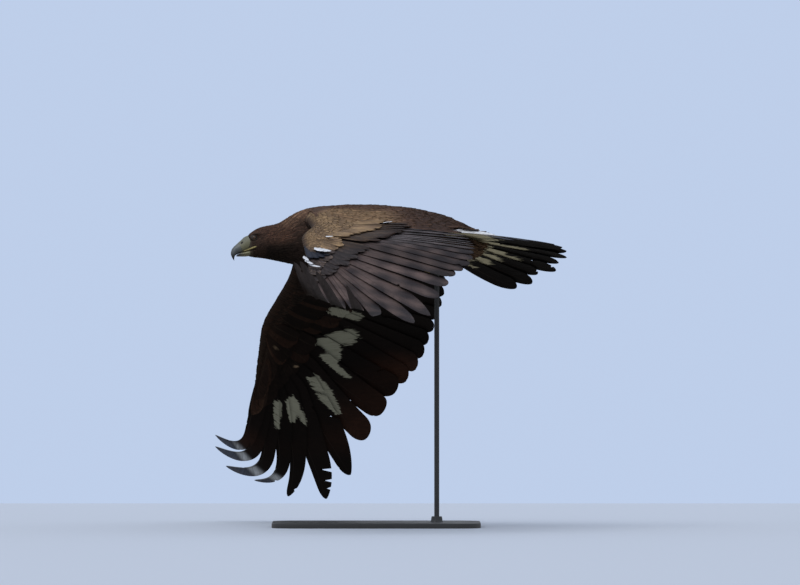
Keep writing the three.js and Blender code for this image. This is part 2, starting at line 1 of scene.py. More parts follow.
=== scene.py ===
import bpy
import numpy as np
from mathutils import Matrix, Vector


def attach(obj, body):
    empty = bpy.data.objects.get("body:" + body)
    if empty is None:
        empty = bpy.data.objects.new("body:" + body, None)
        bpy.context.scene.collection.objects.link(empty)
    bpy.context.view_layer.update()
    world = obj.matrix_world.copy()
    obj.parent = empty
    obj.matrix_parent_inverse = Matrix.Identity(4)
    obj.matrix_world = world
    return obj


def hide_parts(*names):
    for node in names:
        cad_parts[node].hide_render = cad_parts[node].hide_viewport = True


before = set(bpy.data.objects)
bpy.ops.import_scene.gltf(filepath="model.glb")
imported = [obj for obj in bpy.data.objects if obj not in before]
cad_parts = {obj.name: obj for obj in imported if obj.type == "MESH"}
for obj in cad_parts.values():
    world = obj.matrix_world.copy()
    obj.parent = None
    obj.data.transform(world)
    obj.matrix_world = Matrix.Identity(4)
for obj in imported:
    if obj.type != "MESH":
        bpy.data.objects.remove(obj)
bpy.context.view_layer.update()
draw = np.random.default_rng(20)
sides = {"left": -1, "right": 1}
print("eagle: frame loaded")


# Small tools: turns, smooth lines and blends over whole arrays.

def turn(axis, degrees):
    # rotation matrix about x, y or z
    c, s = np.cos(np.radians(degrees)), np.sin(np.radians(degrees))
    i, j = {"x": (1, 2), "y": (2, 0), "z": (0, 1)}[axis]
    made = np.eye(3)
    made[i, i], made[i, j], made[j, i], made[j, j] = c, -s, s, c
    return made


def lineThrough(pairs):
    # a smooth line through [x, value] pairs: cubic pieces whose slope at each pair is that of its neighbours
    xs, ys = np.array(pairs, float).T
    before = np.maximum(np.arange(len(xs)) - 1, 0)
    after = np.minimum(np.arange(len(xs)) + 1, len(xs) - 1)
    slope = (ys[after] - ys[before]) / (xs[after] - xs[before])

    def at(x):
        i = np.clip(np.searchsorted(xs, x, side="right") - 1, 0, len(xs) - 2)
        width = xs[i + 1] - xs[i]
        t = np.clip((x - xs[i]) / width, 0, 1)
        bend = slope[i] * width * t * (1 - t) ** 2 - slope[i + 1] * width * t * t * (1 - t)
        return ys[i] + (ys[i + 1] - ys[i]) * t * t * (3 - 2 * t) + bend

    return at


def curveThrough(points):
    # a smooth curve through points, t from 0 to 1
    shares = np.linspace(0, 1, len(points))
    lines = [lineThrough(list(zip(shares, values))) for values in zip(*points)]
    return lambda t: np.stack([line(t) for line in lines], -1)


def smooth(x, low, high):
    # 0 below low, 1 above high, and a smooth step between
    t = np.clip((np.asarray(x, float) - low) / (high - low), 0, 1)
    return t * t * (3 - 2 * t)


def mix(a, b, t):
    return a + (b - a) * t


def tint(a, b, share):
    # one colour blended into another by a share for each point
    return a + (np.asarray(b) - a) * np.asarray(share)[..., None]


def unit(v):
    return v / np.maximum(np.linalg.norm(v, axis=-1, keepdims=True), 1e-9)


# The bird's own frame is in millimetres: +X to the tail, +Y to its right, +Z up, from between the shoulders.
birdPlace = {"at": (-140, -24, 708), "bank": -16, "yaw": 9}
birdTurn = turn("z", birdPlace["yaw"]) @ turn("x", birdPlace["bank"])


def toWorld(p):
    return (p @ birdTurn.T + np.array(birdPlace["at"])) / 1000


# The wing sheet: a out from the shoulder, b back and h up. It droops along a by an angle that is summed step
# by step, and is cambered along b; the left wing is swept forward a little.
wingPose = {"droop": [[0, 14], [60, 23.5], [300, 23.5], [420, 38], [1000, 38]], "camber": 20, "chord": 330,
            "out": 48, "up": 6.5, "sweepFrom": 20, "sweep": 0.03}
droopAngle = lineThrough(wingPose["droop"])
droopStep = 4.0
droopAt = np.radians(droopAngle(np.arange(droopStep / 2, 1100, droopStep)))
droopA = np.arange(len(droopAt) + 1) * droopStep
droopOut = np.r_[0, np.cumsum(droopStep * np.cos(droopAt))]
droopUp = np.r_[0, -np.cumsum(droopStep * np.sin(droopAt))]


def onWing(side):
    def place(a, b, h):
        a, b, h = np.broadcast_arrays(np.asarray(a, float), b, h)
        angle = np.radians(droopAngle(a))
        inner = np.minimum(a, 0)
        out = np.interp(a, droopA, droopOut) + inner * np.cos(angle)
        up = np.interp(a, droopA, droopUp) - inner * np.sin(angle)
        height = h - wingPose["camber"] * (np.maximum(0, b) / wingPose["chord"]) ** 2
        swept = np.maximum(0, a - wingPose["sweepFrom"]) * (wingPose["sweep"] if side < 0 else 0)
        y = side * (wingPose["out"] + out + height * np.sin(angle))
        return np.stack([b - swept, y, wingPose["up"] + up + height * np.cos(angle)], -1)

    return place


# The tail sheet: u along its axis, v to the right, h up, drooping to its sides and its end.
tailPose = {"at": (284, 3, -14), "pitch": 7.3, "yaw": -10.5, "roll": 0.5, "sideDroop": 0.0009,
            "endDroop": 0.00017}
tailTurn = turn("z", tailPose["yaw"]) @ turn("y", tailPose["pitch"]) @ turn("x", tailPose["roll"])


def onTail(u, v, h):
    u, v, h = np.broadcast_arrays(np.asarray(u, float), v, h)
    flat = np.stack([u, v, h - tailPose["sideDroop"] * v * v - tailPose["endDroop"] * u * u], -1)
    return flat @ tailTurn.T + np.array(tailPose["at"])


def overForm(ring, aside=0.02):
    # places points at a height over a form of rings, along the cross product of its two slopes
    def place(along, around, h):
        along, around, h = np.broadcast_arrays(np.asarray(along, float), around, h)
        on = ring(along + 2, around) - ring(along - 2, around)
        over = ring(along, around + aside) - ring(along, around - aside)
        return ring(along, around) + unit(np.cross(over, on)) * h[..., None]

    return place


# The body's outline along x: top, bottom and half width. Its rings are two half ellipses, with a ridge over
# the eyes and a hollow round them.
bodyTop = lineThrough([
    [-182, -22], [-166, -6], [-150, 5], [-134, 11], [-100, 18], [-78, 29], [-55, 43], [-20, 55], [40, 61],
    [100, 63], [160, 61], [230, 54], [290, 41], [330, 27], [366, 9], [440, -34]])
bodyBottom = lineThrough([
    [-182, -52], [-166, -60], [-134, -64], [-100, -70], [-55, -79], [-20, -91], [40, -108], [100, -113],
    [160, -109], [230, -96], [290, -76], [330, -58], [366, -36], [440, -42]])
bodyHalfWidth = lineThrough([
    [-182, 13], [-166, 22], [-150, 27.5], [-134, 31], [-100, 36], [-78, 43], [-55, 54], [-20, 68], [40, 80],
    [100, 84], [160, 81], [230, 70], [290, 55], [330, 44], [366, 30], [440, 22]])
browRidge = {"x": -156, "z": -11, "long": 17, "high": 4.2, "out": 4.4}
eyeHollow = {"x": -158, "z": -21, "long": 11, "high": 7.5, "out": -2.4}


def bodyMiddle(x):
    return bodyTop(x) * 0.46 + bodyBottom(x) * 0.54


def bodyRing(x, angle):
    # angle 0 is the right side, a quarter turn the back and three quarters the belly
    middle, up = bodyMiddle(x), np.sin(angle)
    z = middle + up * np.where(up > 0, bodyTop(x) - middle, middle - bodyBottom(x))
    side = np.cos(angle) * bodyHalfWidth(x)
    for f in (browRidge, eyeHollow):
        near = np.exp(-(((x - f["x"]) / f["long"]) ** 2) - ((z - f["z"]) / f["high"]) ** 2)
        side = side + np.sign(side) * f["out"] * near * smooth(np.abs(side), 6, 16)
    return np.stack([x + 0 * angle, side, z], -1)


onBody = overForm(bodyRing)

# The thighs and feathered shanks lie back along the belly.
legLine = {"from": (132, 45, -70), "to": (231, 31, -79), "length": 100.4, "flat": 0.72}
legRadius = lineThrough([[0, 12], [0.25, 30], [0.6, 26], [1, 12]])


def legRing(side):
    # an ellipse whose middle runs straight from hip to ankle, as wide as legRadius says
    def ring(along, angle):
        t = along / legLine["length"]
        x, y, z = (mix(a, b, t) for a, b in zip(legLine["from"], legLine["to"]))
        radius = legRadius(t)
        out = side * (y + np.cos(angle) * radius * legLine["flat"])
        return np.stack([x + 0 * angle, out, z + np.sin(angle) * radius], -1)

    return ring


def onLeg(side):
    return overForm(legRing(side), 0.02 * side)


# The flesh of the wing, from leading to trailing line, thick in front.
leadingLine = lineThrough([[0, -40], [60, -37], [165, -43], [260, -66], [344, -87], [420, -90], [560, -92]])
trailingLine = lineThrough([
    [0, 126], [60, 118], [164, 86], [250, 38], [336, -2], [420, -30], [520, -64], [560, -80]])
fleshThick = lineThrough([[0, 54], [60, 50], [164, 34], [336, 22], [480, 14], [560, 6]])


def fleshSection(a, angle, shrunk=0):
    # b and h round the wing: angle 0 is the leading edge, positive over the top
    front, back = leadingLine(a) + shrunk, trailingLine(a) - shrunk
    share = np.where(np.sin(angle) > 0, 0.62, 0.38)
    b = (front + back) / 2 - np.cos(angle) * (back - front) / 2
    thick = np.maximum(fleshThick(a) * share * (0.72 + 0.5 * np.cos(angle)) - shrunk, 0.6)
    return b, np.sin(angle) * thick + 1


# A cover line lies over the flesh and then over the flight feathers' roots, on the top (1) or the underside
# (-1) of the wing. Each is tabled by its length from the leading edge, so that coverts can be laid along it.
coverStep = {"a": 6.0, "run": 2.0}
coverA = np.arange(-24, 601, coverStep["a"])
coverRun = np.arange(0, 281, coverStep["run"])
overRoots = 4.5


def coverTable(face):
    rows = []
    angle = np.linspace(0, np.pi, 60)
    for a in coverA:
        b, h = fleshSection(a, face * angle)
        h = face * np.maximum(face * h, overRoots * smooth(angle, 1.3, 2.4))
        b, h = np.r_[b, b[-1] + 300], np.r_[h, face * overRoots]
        run = np.r_[0, np.cumsum(np.hypot(np.diff(b), np.diff(h)))]
        b, h = np.interp(coverRun, run, b), np.interp(coverRun, run, h)
        db, dh = np.gradient(b), np.gradient(h)
        size = np.hypot(db, dh)
        rows.append(np.stack([b, h, -face * dh / size, face * db / size], -1))
    return np.stack(rows)


coverTables = {face: coverTable(face) for face in (1, -1)}


def onCover(side, face):
    # a out, run back from the leading edge, h off the cover line; looked up between the table's entries
    table, wing = coverTables[face], onWing(side)

    def place(a, run, h):
        a, run, h = np.broadcast_arrays(np.asarray(a, float), run, h)
        i = np.clip((a - coverA[0]) / coverStep["a"], 0, len(coverA) - 1.001)
        j = np.clip(run / coverStep["run"], 0, len(coverRun) - 1.001)
        i0, j0 = i.astype(int), j.astype(int)
        ti, tj = (i - i0)[..., None], (j - j0)[..., None]
        low = mix(table[i0, j0], table[i0, j0 + 1], tj)
        high = mix(table[i0 + 1, j0], table[i0 + 1, j0 + 1], tj)
        found = mix(low, high, ti)
        return wing(a, found[..., 0] + found[..., 2] * h, found[..., 1] + found[..., 3] * h)

    return place


# The mantle bridges back and wing: a quadratic curve from the back, over the crease, to the wing's top.
mantleForm = {"backAngle": 66, "crease": (44, 32), "wing": (112, 22), "sink": 14, "span": 154.0}


def mantleRing(side):
    def ring(x, aside):
        angle = np.radians(mantleForm["backAngle"] if side > 0 else 180 - mantleForm["backAngle"])
        t = (aside / mantleForm["span"])[..., None]
        first = bodyRing(x, angle + 0 * x)
        sunk = mantleForm["sink"] * smooth(x, 20, 120)
        second, third = (onWing(side)(a + 0 * x, x, h - share * sunk)
                         for share, (a, h) in ((0.6, mantleForm["crease"]), (1, mantleForm["wing"])))
        return first * (1 - t) ** 2 + second * 2 * t * (1 - t) + third * t * t

    return ring


# Meshes from arrays.

def volumeOf(points, faces):
    # six times the signed volume under faces of three or four corners
    a, b, c, d = (points[faces[:, k]] for k in (0, 1, 2, -1))
    return (a * (np.cross(b - a, c - a) + np.cross(c - a, d - a))).sum()


def putMesh(name, points, faces, values=None, maps=None, creaseDegrees=50):
    # points (n, 3) in metres; faces a list of index arrays; values and UV maps by name, for each point
    if sum(volumeOf(points, f) for f in faces) < 0:
        faces = [f[:, ::-1] for f in faces]
    corners = np.concatenate([f.ravel() for f in faces]).astype(np.int32)
    sizes = np.concatenate([np.full(len(f), f.shape[1], np.int32) for f in faces])
    mesh = bpy.data.meshes.new(name)
    mesh.vertices.add(len(points))
    mesh.vertices.foreach_set("co", points.astype(np.float32).ravel())
    mesh.loops.add(len(corners))
    mesh.loops.foreach_set("vertex_index", corners)
    mesh.polygons.add(len(sizes))
    mesh.polygons.foreach_set("loop_start", np.r_[0, np.cumsum(sizes)[:-1]].astype(np.int32))
    mesh.update(calc_edges=True)
    kinds = {1: ("FLOAT", "value"), 3: ("FLOAT_VECTOR", "vector"), 4: ("FLOAT_COLOR", "color")}
    for key, found in (values or {}).items():
        kind, field = kinds[1 if found.ndim == 1 else found.shape[1]]
        mesh.attributes.new(key, kind, "POINT").data.foreach_set(field, found.astype(np.float32).ravel())
    for key, found in (maps or {}).items():
        layer = mesh.uv_layers.new(name=key)
        layer.uv.foreach_set("vector", found[corners].astype(np.float32).ravel())
    mesh.polygons.foreach_set("use_smooth", np.ones(len(sizes), bool))
    mesh.set_sharp_from_angle(angle=np.radians(creaseDegrees))
    made = bpy.data.objects.new(name, mesh)
    bpy.context.scene.collection.objects.link(made)
    return made


def gridFaces(rows, columns, closed=False):
    # quads of a rows x columns grid of points; closed joins the last column to the first
    i, j = np.meshgrid(np.arange(rows - 1), np.arange(columns if closed else columns - 1), indexing="ij")
    k = (j + 1) % columns
    corners = [i * columns + j, i * columns + k, (i + 1) * columns + k, (i + 1) * columns + j]
    return np.stack(corners, -1).reshape(-1, 4)


def putTubes(name, forms, colours, place=toWorld):
    # closed skins over rings of points, each (rings, around, 3), with a middle point at both ends
    points, faces, paint, start = [], [], [], 0
    for form, colour in zip(forms, colours):
        rings, around = form.shape[:2]
        colour = np.broadcast_to(colour, form.shape)
        flat = np.concatenate([form.reshape(-1, 3), form[0].mean(0)[None], form[-1].mean(0)[None]])
        paint += [colour.reshape(-1, 3), colour[0].mean(0)[None], colour[-1].mean(0)[None]]
        j = np.arange(around)
        k, last, n = (j + 1) % around, (rings - 1) * around, rings * around
        caps = [np.stack([k, j, 0 * j + n], -1), np.stack([last + j, last + k, 0 * j + n + 1], -1)]
        one = [gridFaces(rings, around, True), np.concatenate(caps)]
        inward = sum(volumeOf(flat, f) for f in one) < 0
        faces += [(f[:, ::-1] if inward else f) + start for f in one]
        points.append(flat)
        start += len(flat)
    paint = np.concatenate(paint)
    return putMesh(name, place(np.concatenate(points)), faces, {"plume": np.c_[paint, np.ones(len(paint))]})


def pathTube(points, radius, rings=24, around=16, ripple=0.0, ripples=0):
    # a round tube along a smooth curve, with ripples across its upper side
    t = np.linspace(0, 1, rings)
    at = curveThrough(points)(t)
    way = unit(np.gradient(at, axis=0))
    up = unit(np.cross(way, np.array([0.0, 1.0, 0.0])))
    side = np.cross(up, way)
    angle = np.linspace(0, 2 * np.pi, around, endpoint=False)
    waves = np.abs(np.sin(np.pi * ripples * t))[:, None] * smooth(np.sin(angle), -0.3, 0.5)
    size = radius(t)[:, None] * (1 + ripple * waves)
    beside, above = (np.cos(angle) * size)[..., None], (np.sin(angle) * size)[..., None]
    return at[:, None] + (side[:, None] * beside + up[:, None] * above)


# Feathers. Each is a thin closed vane: a grid of stations along its shaft and points across it, on two faces.
stationPower = 1.35  # crowds the stations towards the tip
bendFrom = 0.6  # where along its shaft a feather starts to curl
shaftColumn = 0.04
fineAcross = (-1, -0.66, -0.3, -shaftColumn, 0, shaftColumn, 0.3, 0.66, 1)
middleAcross = (-1, -0.5, 0, 0.5, 1)
fewAcross = (-1, 0, 1)
bakePatch = 0.003  # the side of a feather's own place on the baked map


def vanes(sheet, f, rows, across):
    # f holds each feather's root and tip (a, b, h), bow, lead, trail, tilt, curl and the shape of its end
    count = len(f["root"])
    one = lambda key, default=0.0: np.broadcast_to(np.asarray(f.get(key, default), float), (count,))[:, None]
    s = (1 - (1 - np.linspace(0, 1, rows + 1)) ** stationPower)[None]
    root, tip = f["root"][:, None], f["tip"][:, None]
    run = (f["tip"] - f["root"])[:, :2]
    length = np.linalg.norm(run, axis=1)
    front = np.stack([run[:, 1], -run[:, 0]], -1) / length[:, None]
    middle = (f["root"] + f["tip"])[:, :2] / 2 + one("bow") * length[:, None] * front
    three = np.stack([f["root"][:, :2], middle, f["tip"][:, :2]], 1)
    weights = np.stack([(1 - s) ** 2, 2 * s * (1 - s), s * s], -1)
    at = np.einsum("fsk,fkc->fsc", np.broadcast_to(weights, (count,) + weights.shape[1:]), three)
    bend = (np.maximum(0, s - bendFrom) / (1 - bendFrom)) ** one("bendPower", 1.9)
    curl = f.get("curl", np.zeros((count, 3)))[:, None]
    at = at + curl[..., :2] * bend[..., None]
    way = unit(np.gradient(at, s[0], axis=1))

    # Width: narrow at the quill, then full; each web rounds or tapers to the tip. Fingers narrow half way.
    quill = mix(one("quill", 0.25), 1, smooth(s, 0, 0.24)) * (1 - one("finger") * smooth(s, 0.4, 0.68))
    taper = lambda start, power, ease: (1 - np.clip((s - start) / (1 - start), 0, 1) ** power) ** ease
    webs = [one("lead") * quill * taper(one("leadFrom", 0.8), one("leadPower", 2.2), 0.5),
            one("trail") * quill * taper(one("tipFrom", 0.8), one("tipPower", 2.2), one("tipEase", 0.5))]
    c = np.asarray(across, float)[None, None]
    half = np.where(c < 0, webs[0][..., None], webs[1][..., None])
    shaft = np.minimum(one("shaft", 1.2) * (1.05 - s), webs[1] * 0.4)[..., None]
    onRidge = np.abs(c) <= shaftColumn
    over = np.where(np.abs(c) == shaftColumn, np.sign(c) * np.minimum(shaft, half * 0.5), c * half)
    if "notch" in f:
        cut = np.where(c < 0, f["notch"][..., :1], f["notch"][..., 1:])
        over = over * (1 - cut * smooth(np.abs(c), 0.3, 1))
    slanted = one("slant", 0.4)[..., None] * np.abs(over) * (smooth(s, 0, 0.12) * (1 - s**5))[..., None]

    # Height: root to tip, curled and tilted, domed a little across, with the shaft raised.
    tilt = mix(one("tilt"), one("tipTilt") if "tipTilt" in f else one("tilt"), bend)
    height = mix(root[..., 2], tip[..., 2], s ** one("ease", 1.0)) + curl[..., 2] * bend
    domed = one("dome")[..., None] * c * c * quill[..., None]
    height = height[..., None] - over * np.tan(np.radians(tilt))[..., None] - domed
    thin = one("thick", 0.35)[..., None] * (1 - 0.5 * s[..., None])
    thick = np.maximum(thin, 0.12) * (1 - 0.75 * np.abs(c) ** 3)
    face = np.array([1.0, -1.0])
    h = height[..., None] + face * (thick / 2 + np.where(onRidge, 0.55 * shaft, 0))[..., None]
    a = at[..., None, 0] - way[..., None, 1] * over + way[..., None, 0] * slanted
    b = at[..., None, 1] + way[..., None, 0] * over + way[..., None, 1] * slanted
    points = sheet(a[..., None], b[..., None], h)
    whole = lambda v: np.broadcast_to(v, h.shape)
    along = (s * length[:, None])[..., None] + slanted
    info = {"s": whole(s[..., None, None]), "c": whole(c[..., None]), "over": whole(over[..., None]),
            "along": whole(along[..., None]), "face": whole(face), "a": whole(a[..., None]),
            "b": whole(b[..., None]), "seed": whole(one("seed")[..., None, None]),
            "index": np.arange(count)[:, None, None, None]}
    return points, info


def vaneFaces(count, rows, columns):
    # both faces, the two edges, the root and the tip of count vanes whose points are (stations, columns, 2)
    at = lambda i, j, k: (i * columns + j) * 2 + k
    i, j = np.meshgrid(np.arange(rows), np.arange(columns - 1), indexing="ij")
    top = np.stack([at(i, j, 0), at(i, j + 1, 0), at(i + 1, j + 1, 0), at(i + 1, j, 0)], -1).reshape(-1, 4)
    under = np.stack([at(i, j, 1), at(i + 1, j, 1), at(i + 1, j + 1, 1), at(i, j + 1, 1)], -1).reshape(-1, 4)
    i, e = np.arange(rows), columns - 1
    left = np.stack([at(i, 0, 0), at(i + 1, 0, 0), at(i + 1, 0, 1), at(i, 0, 1)], -1)
    right = np.stack([at(i, e, 0), at(i, e, 1), at(i + 1, e, 1), at(i + 1, e, 0)], -1)
    j = np.arange(columns - 1)
    start = np.stack([at(0, j, 0), at(0, j, 1), at(0, j + 1, 1), at(0, j + 1, 0)], -1)
    end = np.stack([at(rows, j, 0), at(rows, j + 1, 0), at(rows, j + 1, 1), at(rows, j, 1)], -1)
    one = np.concatenate([top, under, left, right, start, end])
    step = (rows + 1) * columns * 2
    return (one[None] + (np.arange(count) * step)[:, None, None]).reshape(-1, 4)


def putVanes(name, sheet, f, colour, patch, rows=5, across=fewAcross, spot=None):
    # colour(info) gives each point's own colour; spot(info) a field that is positive where the vane is white
    f["seed"] = draw.random(len(f["root"]))
    points, info = vanes(sheet, f, rows, across)
    flat = lambda v: np.ascontiguousarray(np.broadcast_to(v, info["s"].shape)).reshape(-1)
    paint = np.broadcast_to(colour(info), points.shape)
    values = {
        "plume": np.concatenate([paint, np.ones(paint.shape[:-1] + (1,))], -1).reshape(-1, 4),
        "vane": np.stack([flat(info["s"]), flat(info["c"]), flat(info["seed"])], -1),
        "spot": flat(spot(info) if spot else -1.0)}
    barbs = np.stack([flat(info["over"]), flat(info["along"])], -1) / 100
    spread = np.stack([info["c"] * 0.5, info["s"] - 0.5], -1) * bakePatch
    spread = np.clip(patch[:, None, None, None] + spread, 0.0, 1.0).reshape(-1, 2)
    faces = [vaneFaces(len(points), rows, len(across))]
    made = putMesh(name, toWorld(points.reshape(-1, 3)), faces, values, {"barbs": barbs, "OFBake": spread})
    print("eagle:", name, "has", len(points), "feathers and", len(faces[0]) * 2, "triangles")
    return made


def unwrapped(x, lowX, highX, y, lowY, highY):
    # a place on a skin's own flat map, from its two surface coordinates
    return np.clip(np.stack([(x - lowX) / (highX - lowX), (y - lowY) / (highY - lowY)], -1), 0.004, 0.996)


def inRow(count):
    # each big feather's own place along the map
    return np.stack([(np.arange(count) + 0.5) / count, np.full(count, 0.5)], -1)


def stack(rows):
    return {key: np.concatenate([r[key] for r in rows]) for key in rows[0]}


def tones(count, share):
    # a lighter or darker factor for each feather, shaped to multiply its points' colours
    return (1 + share * (draw.random(count) * 2 - 1))[:, None, None, None, None]


def inPatches(patches, a, b):
    # 1 on the middle line of a rounded patch, 0 at its rim: (a, b, radius) at its start, then at its end
    best = np.full(a.shape, -1.0)
    for a0, b0, r0, a1, b1, r1 in patches:
        da, db = a1 - a0, b1 - b0
        t = np.clip(((a - a0) * da + (b - b0) * db) / (da * da + db * db), 0, 1)
        best = np.maximum(best, 1 - np.hypot(a - a0 - t * da, b - b0 - t * db) / mix(r0, r1, t))
    return best


# Node tools and the shader groups.

def addNode(tree, kind, inputs=None, **settings):
    made = tree.nodes.new("ShaderNode" + kind)
    for key, value in settings.items():
        setattr(made, key, value)
    for key, value in (inputs or {}).items():
        if isinstance(value, bpy.types.NodeSocket):
            tree.links.new(value, made.inputs[key])
        else:
            made.inputs[key].default_value = value
    return made


def maths(tree, operation, *values, clamp=False):
    return addNode(tree, "Math", dict(enumerate(values)), operation=operation, use_clamp=clamp).outputs[0]


def stepBetween(tree, value, low, high, toLow=0.0, toHigh=1.0):
    inputs = {"Value": value, "From Min": low, "From Max": high, "To Min": toLow, "To Max": toHigh}
    return addNode(tree, "MapRange", inputs, interpolation_type="SMOOTHSTEP").outputs["Result"]


def mixColour(tree, factor, a, b, blend="MIX"):
    return addNode(tree, "Mix", {0: factor, 6: a, 7: b}, data_type="RGBA", blend_type=blend).outputs[2]


def noise(tree, vector, scale, detail=2.0, rough=0.5):
    inputs = {"Vector": vector, "Scale": scale, "Detail": detail, "Roughness": rough}
    return addNode(tree, "TexNoise", inputs).outputs[0]


def grey(tree, value):
    return addNode(tree, "CombineColor", {0: value, 1: value, 2: value}).outputs[0]


def newGroup(name, inputs, outputs):
    tree = bpy.data.node_groups.new(name, "ShaderNodeTree")
    for label, (kind, value) in inputs.items():
        socket = tree.interface.new_socket(name=label, in_out="INPUT", socket_type="NodeSocket" + kind)
        socket.default_value = value
    for label, kind in outputs.items():
        tree.interface.new_socket(name=label, in_out="OUTPUT", socket_type="NodeSocket" + kind)
    return tree, tree.nodes.new("NodeGroupInput").outputs, tree.nodes.new("NodeGroupOutput").inputs


def makeFeatherGroup():
    # Colour and height of a vane from its own map: barbs slant off the shaft, edges fade, white is barbed.
    tree, given, out = newGroup(
        "featherVane",
        {"Edge": ("Color", (0.2, 0.14, 0.09, 1)), "Edge amount": ("Float", 0.3),
         "Shaft": ("Color", (0.05, 0.03, 0.02, 1)), "White": ("Color", (0.5, 0.5, 0.42, 1)),
         "Streaks": ("Float", 0.35), "Ragged": ("Float", 0.5)},
        {"Colour": "Color", "Height": "Float", "Roughness": "Float"})
    plume = addNode(tree, "Attribute", attribute_name="plume").outputs["Color"]
    vane = addNode(tree, "Attribute", attribute_name="vane").outputs["Vector"]
    spot = addNode(tree, "Attribute", attribute_name="spot").outputs["Fac"]
    barbs = addNode(tree, "UVMap", uv_map="barbs").outputs["UV"]
    s, c, seed = addNode(tree, "SeparateXYZ", {0: vane}).outputs
    over, along, _ = addNode(tree, "SeparateXYZ", {0: barbs}).outputs
    off = maths(tree, "ABSOLUTE", over)
    barb = maths(tree, "SUBTRACT", along, maths(tree, "MULTIPLY", off, 0.9))
    shift = maths(tree, "MULTIPLY", seed, 53.0)
    place = lambda x, y: addNode(tree, "CombineXYZ", {0: x, 1: y, 2: shift}).outputs[0]
    aside = maths(tree, "ADD", maths(tree, "MULTIPLY", over, 2.2), shift)
    streak = noise(tree, place(maths(tree, "MULTIPLY", barb, 26.0), aside), 1.0, 3.0, 0.65)
    finePlace = place(maths(tree, "MULTIPLY", barb, 120.0), maths(tree, "MULTIPLY", over, 4.0))
    fine = noise(tree, finePlace, 1.0, 1.0)
    cloud = noise(tree, place(over, along), 6.0)
    centred = maths(tree, "SUBTRACT", streak, 0.5)
    # the edge and the tip, on the lighter feathers alone
    rim = maths(tree, "MAXIMUM", stepBetween(tree, maths(tree, "ABSOLUTE", c), 0.55, 1.0),
                stepBetween(tree, s, 0.82, 1.0))
    rim = maths(tree, "MULTIPLY", rim, given["Edge amount"])
    bright = addNode(tree, "SeparateColor", {0: plume}).outputs[0]
    rim = maths(tree, "MULTIPLY", rim, stepBetween(tree, bright, 0.02, 0.11))
    rim = maths(tree, "MULTIPLY", rim, stepBetween(tree, cloud, 0.3, 0.6), clamp=True)
    colour = mixColour(tree, rim, plume, given["Edge"])
    # streaks along the barbs
    streaks = maths(tree, "MULTIPLY", centred, maths(tree, "MULTIPLY", given["Streaks"], 2.4))
    clouds = maths(tree, "MULTIPLY", maths(tree, "SUBTRACT", cloud, 0.5), given["Streaks"])
    light = maths(tree, "ADD", maths(tree, "ADD", 1.0, streaks), clouds)
    colour = mixColour(tree, 1.0, colour, grey(tree, light), "MULTIPLY")
    # white places, with barbed rims
    field = maths(tree, "ADD", spot, maths(tree, "MULTIPLY", centred, given["Ragged"]))
    speckled = mixColour(tree, stepBetween(tree, streak, 0.45, 0.8, 0.0, 0.45), given["White"], plume)
    colour = mixColour(tree, stepBetween(tree, field, -0.05, 0.12), colour, speckled)
    # the shaft
    width = maths(tree, "MULTIPLY", maths(tree, "SUBTRACT", 1.08, s), 0.016)
    onShaft = stepBetween(tree, maths(tree, "DIVIDE", off, width), 1.4, 0.8)
    colour = mixColour(tree, maths(tree, "MULTIPLY", onShaft, 0.6), colour, given["Shaft"])
    tree.links.new(colour, out["Colour"])
    height = maths(tree, "ADD", maths(tree, "MULTIPLY", fine, 0.5), maths(tree, "MULTIPLY", streak, 0.6))
    tree.links.new(maths(tree, "ADD", height, onShaft), out["Height"])
    tree.links.new(stepBetween(tree, streak, 0.2, 0.8, 0.55, 0.75), out["Roughness"])
    return tree


def makeGrainGroup():
    # A fine mottle over a piece's own painted colour, for horn, scaled skin and powder coat.
    tree, given, out = newGroup(
        "fineGrain",
        {"Scale": ("Float", 300.0), "Stretch": ("Vector", (1.0, 1.0, 1.0)), "Amount": ("Float", 0.4),
         "Rough low": ("Float", 0.3), "Rough high": ("Float", 0.5)},
        {"Colour": "Color", "Height": "Float", "Roughness": "Float"})
    plume = addNode(tree, "Attribute", attribute_name="plume").outputs["Color"]
    where = addNode(tree, "TexCoord").outputs["Object"]
    stretched = addNode(tree, "VectorMath", {0: where, 1: given["Stretch"]}, operation="MULTIPLY").outputs[0]
    grain = noise(tree, stretched, given["Scale"], 4.0, 0.6)
    broad = noise(tree, where, 38.0, 2.0)
    clouds = maths(tree, "MULTIPLY", maths(tree, "SUBTRACT", broad, 0.5), 0.9)
    both = maths(tree, "ADD", maths(tree, "SUBTRACT", grain, 0.5), clouds)
    light = maths(tree, "ADD", 1.0, maths(tree, "MULTIPLY", both, given["Amount"]))
    tree.links.new(mixColour(tree, 1.0, plume, grey(tree, light), "MULTIPLY"), out["Colour"])
    tree.links.new(grain, out["Height"])
    rough = stepBetween(tree, broad, 0.3, 0.7, given["Rough low"], given["Rough high"])
    tree.links.new(rough, out["Roughness"])
    return tree


featherGroup, grainGroup = makeFeatherGroup(), makeGrainGroup()


def groupMaterial(name, group, constants, values, bump):
    # a Principled shader with fixed sockets, fed by one group's colour, roughness and height
    made = bpy.data.materials.new(name)
    made.use_nodes = True
    tree = made.node_tree
    shader = tree.nodes["Principled BSDF"]
    for key, value in constants.items():
        shader.inputs[key].default_value = value
    placed = addNode(tree, "Group", node_tree=group)
    for key, value in values.items():
        placed.inputs[key].default_value = value
    tree.links.new(placed.outputs["Colour"], shader.inputs["Base Color"])
    tree.links.new(placed.outputs["Roughness"], shader.inputs["Roughness"])
    normal = addNode(tree, "Bump", {"Height": placed.outputs["Height"], "Distance": bump, "Strength": 0.6})
    tree.links.new(normal.outputs["Normal"], shader.inputs["Normal"])
    return made


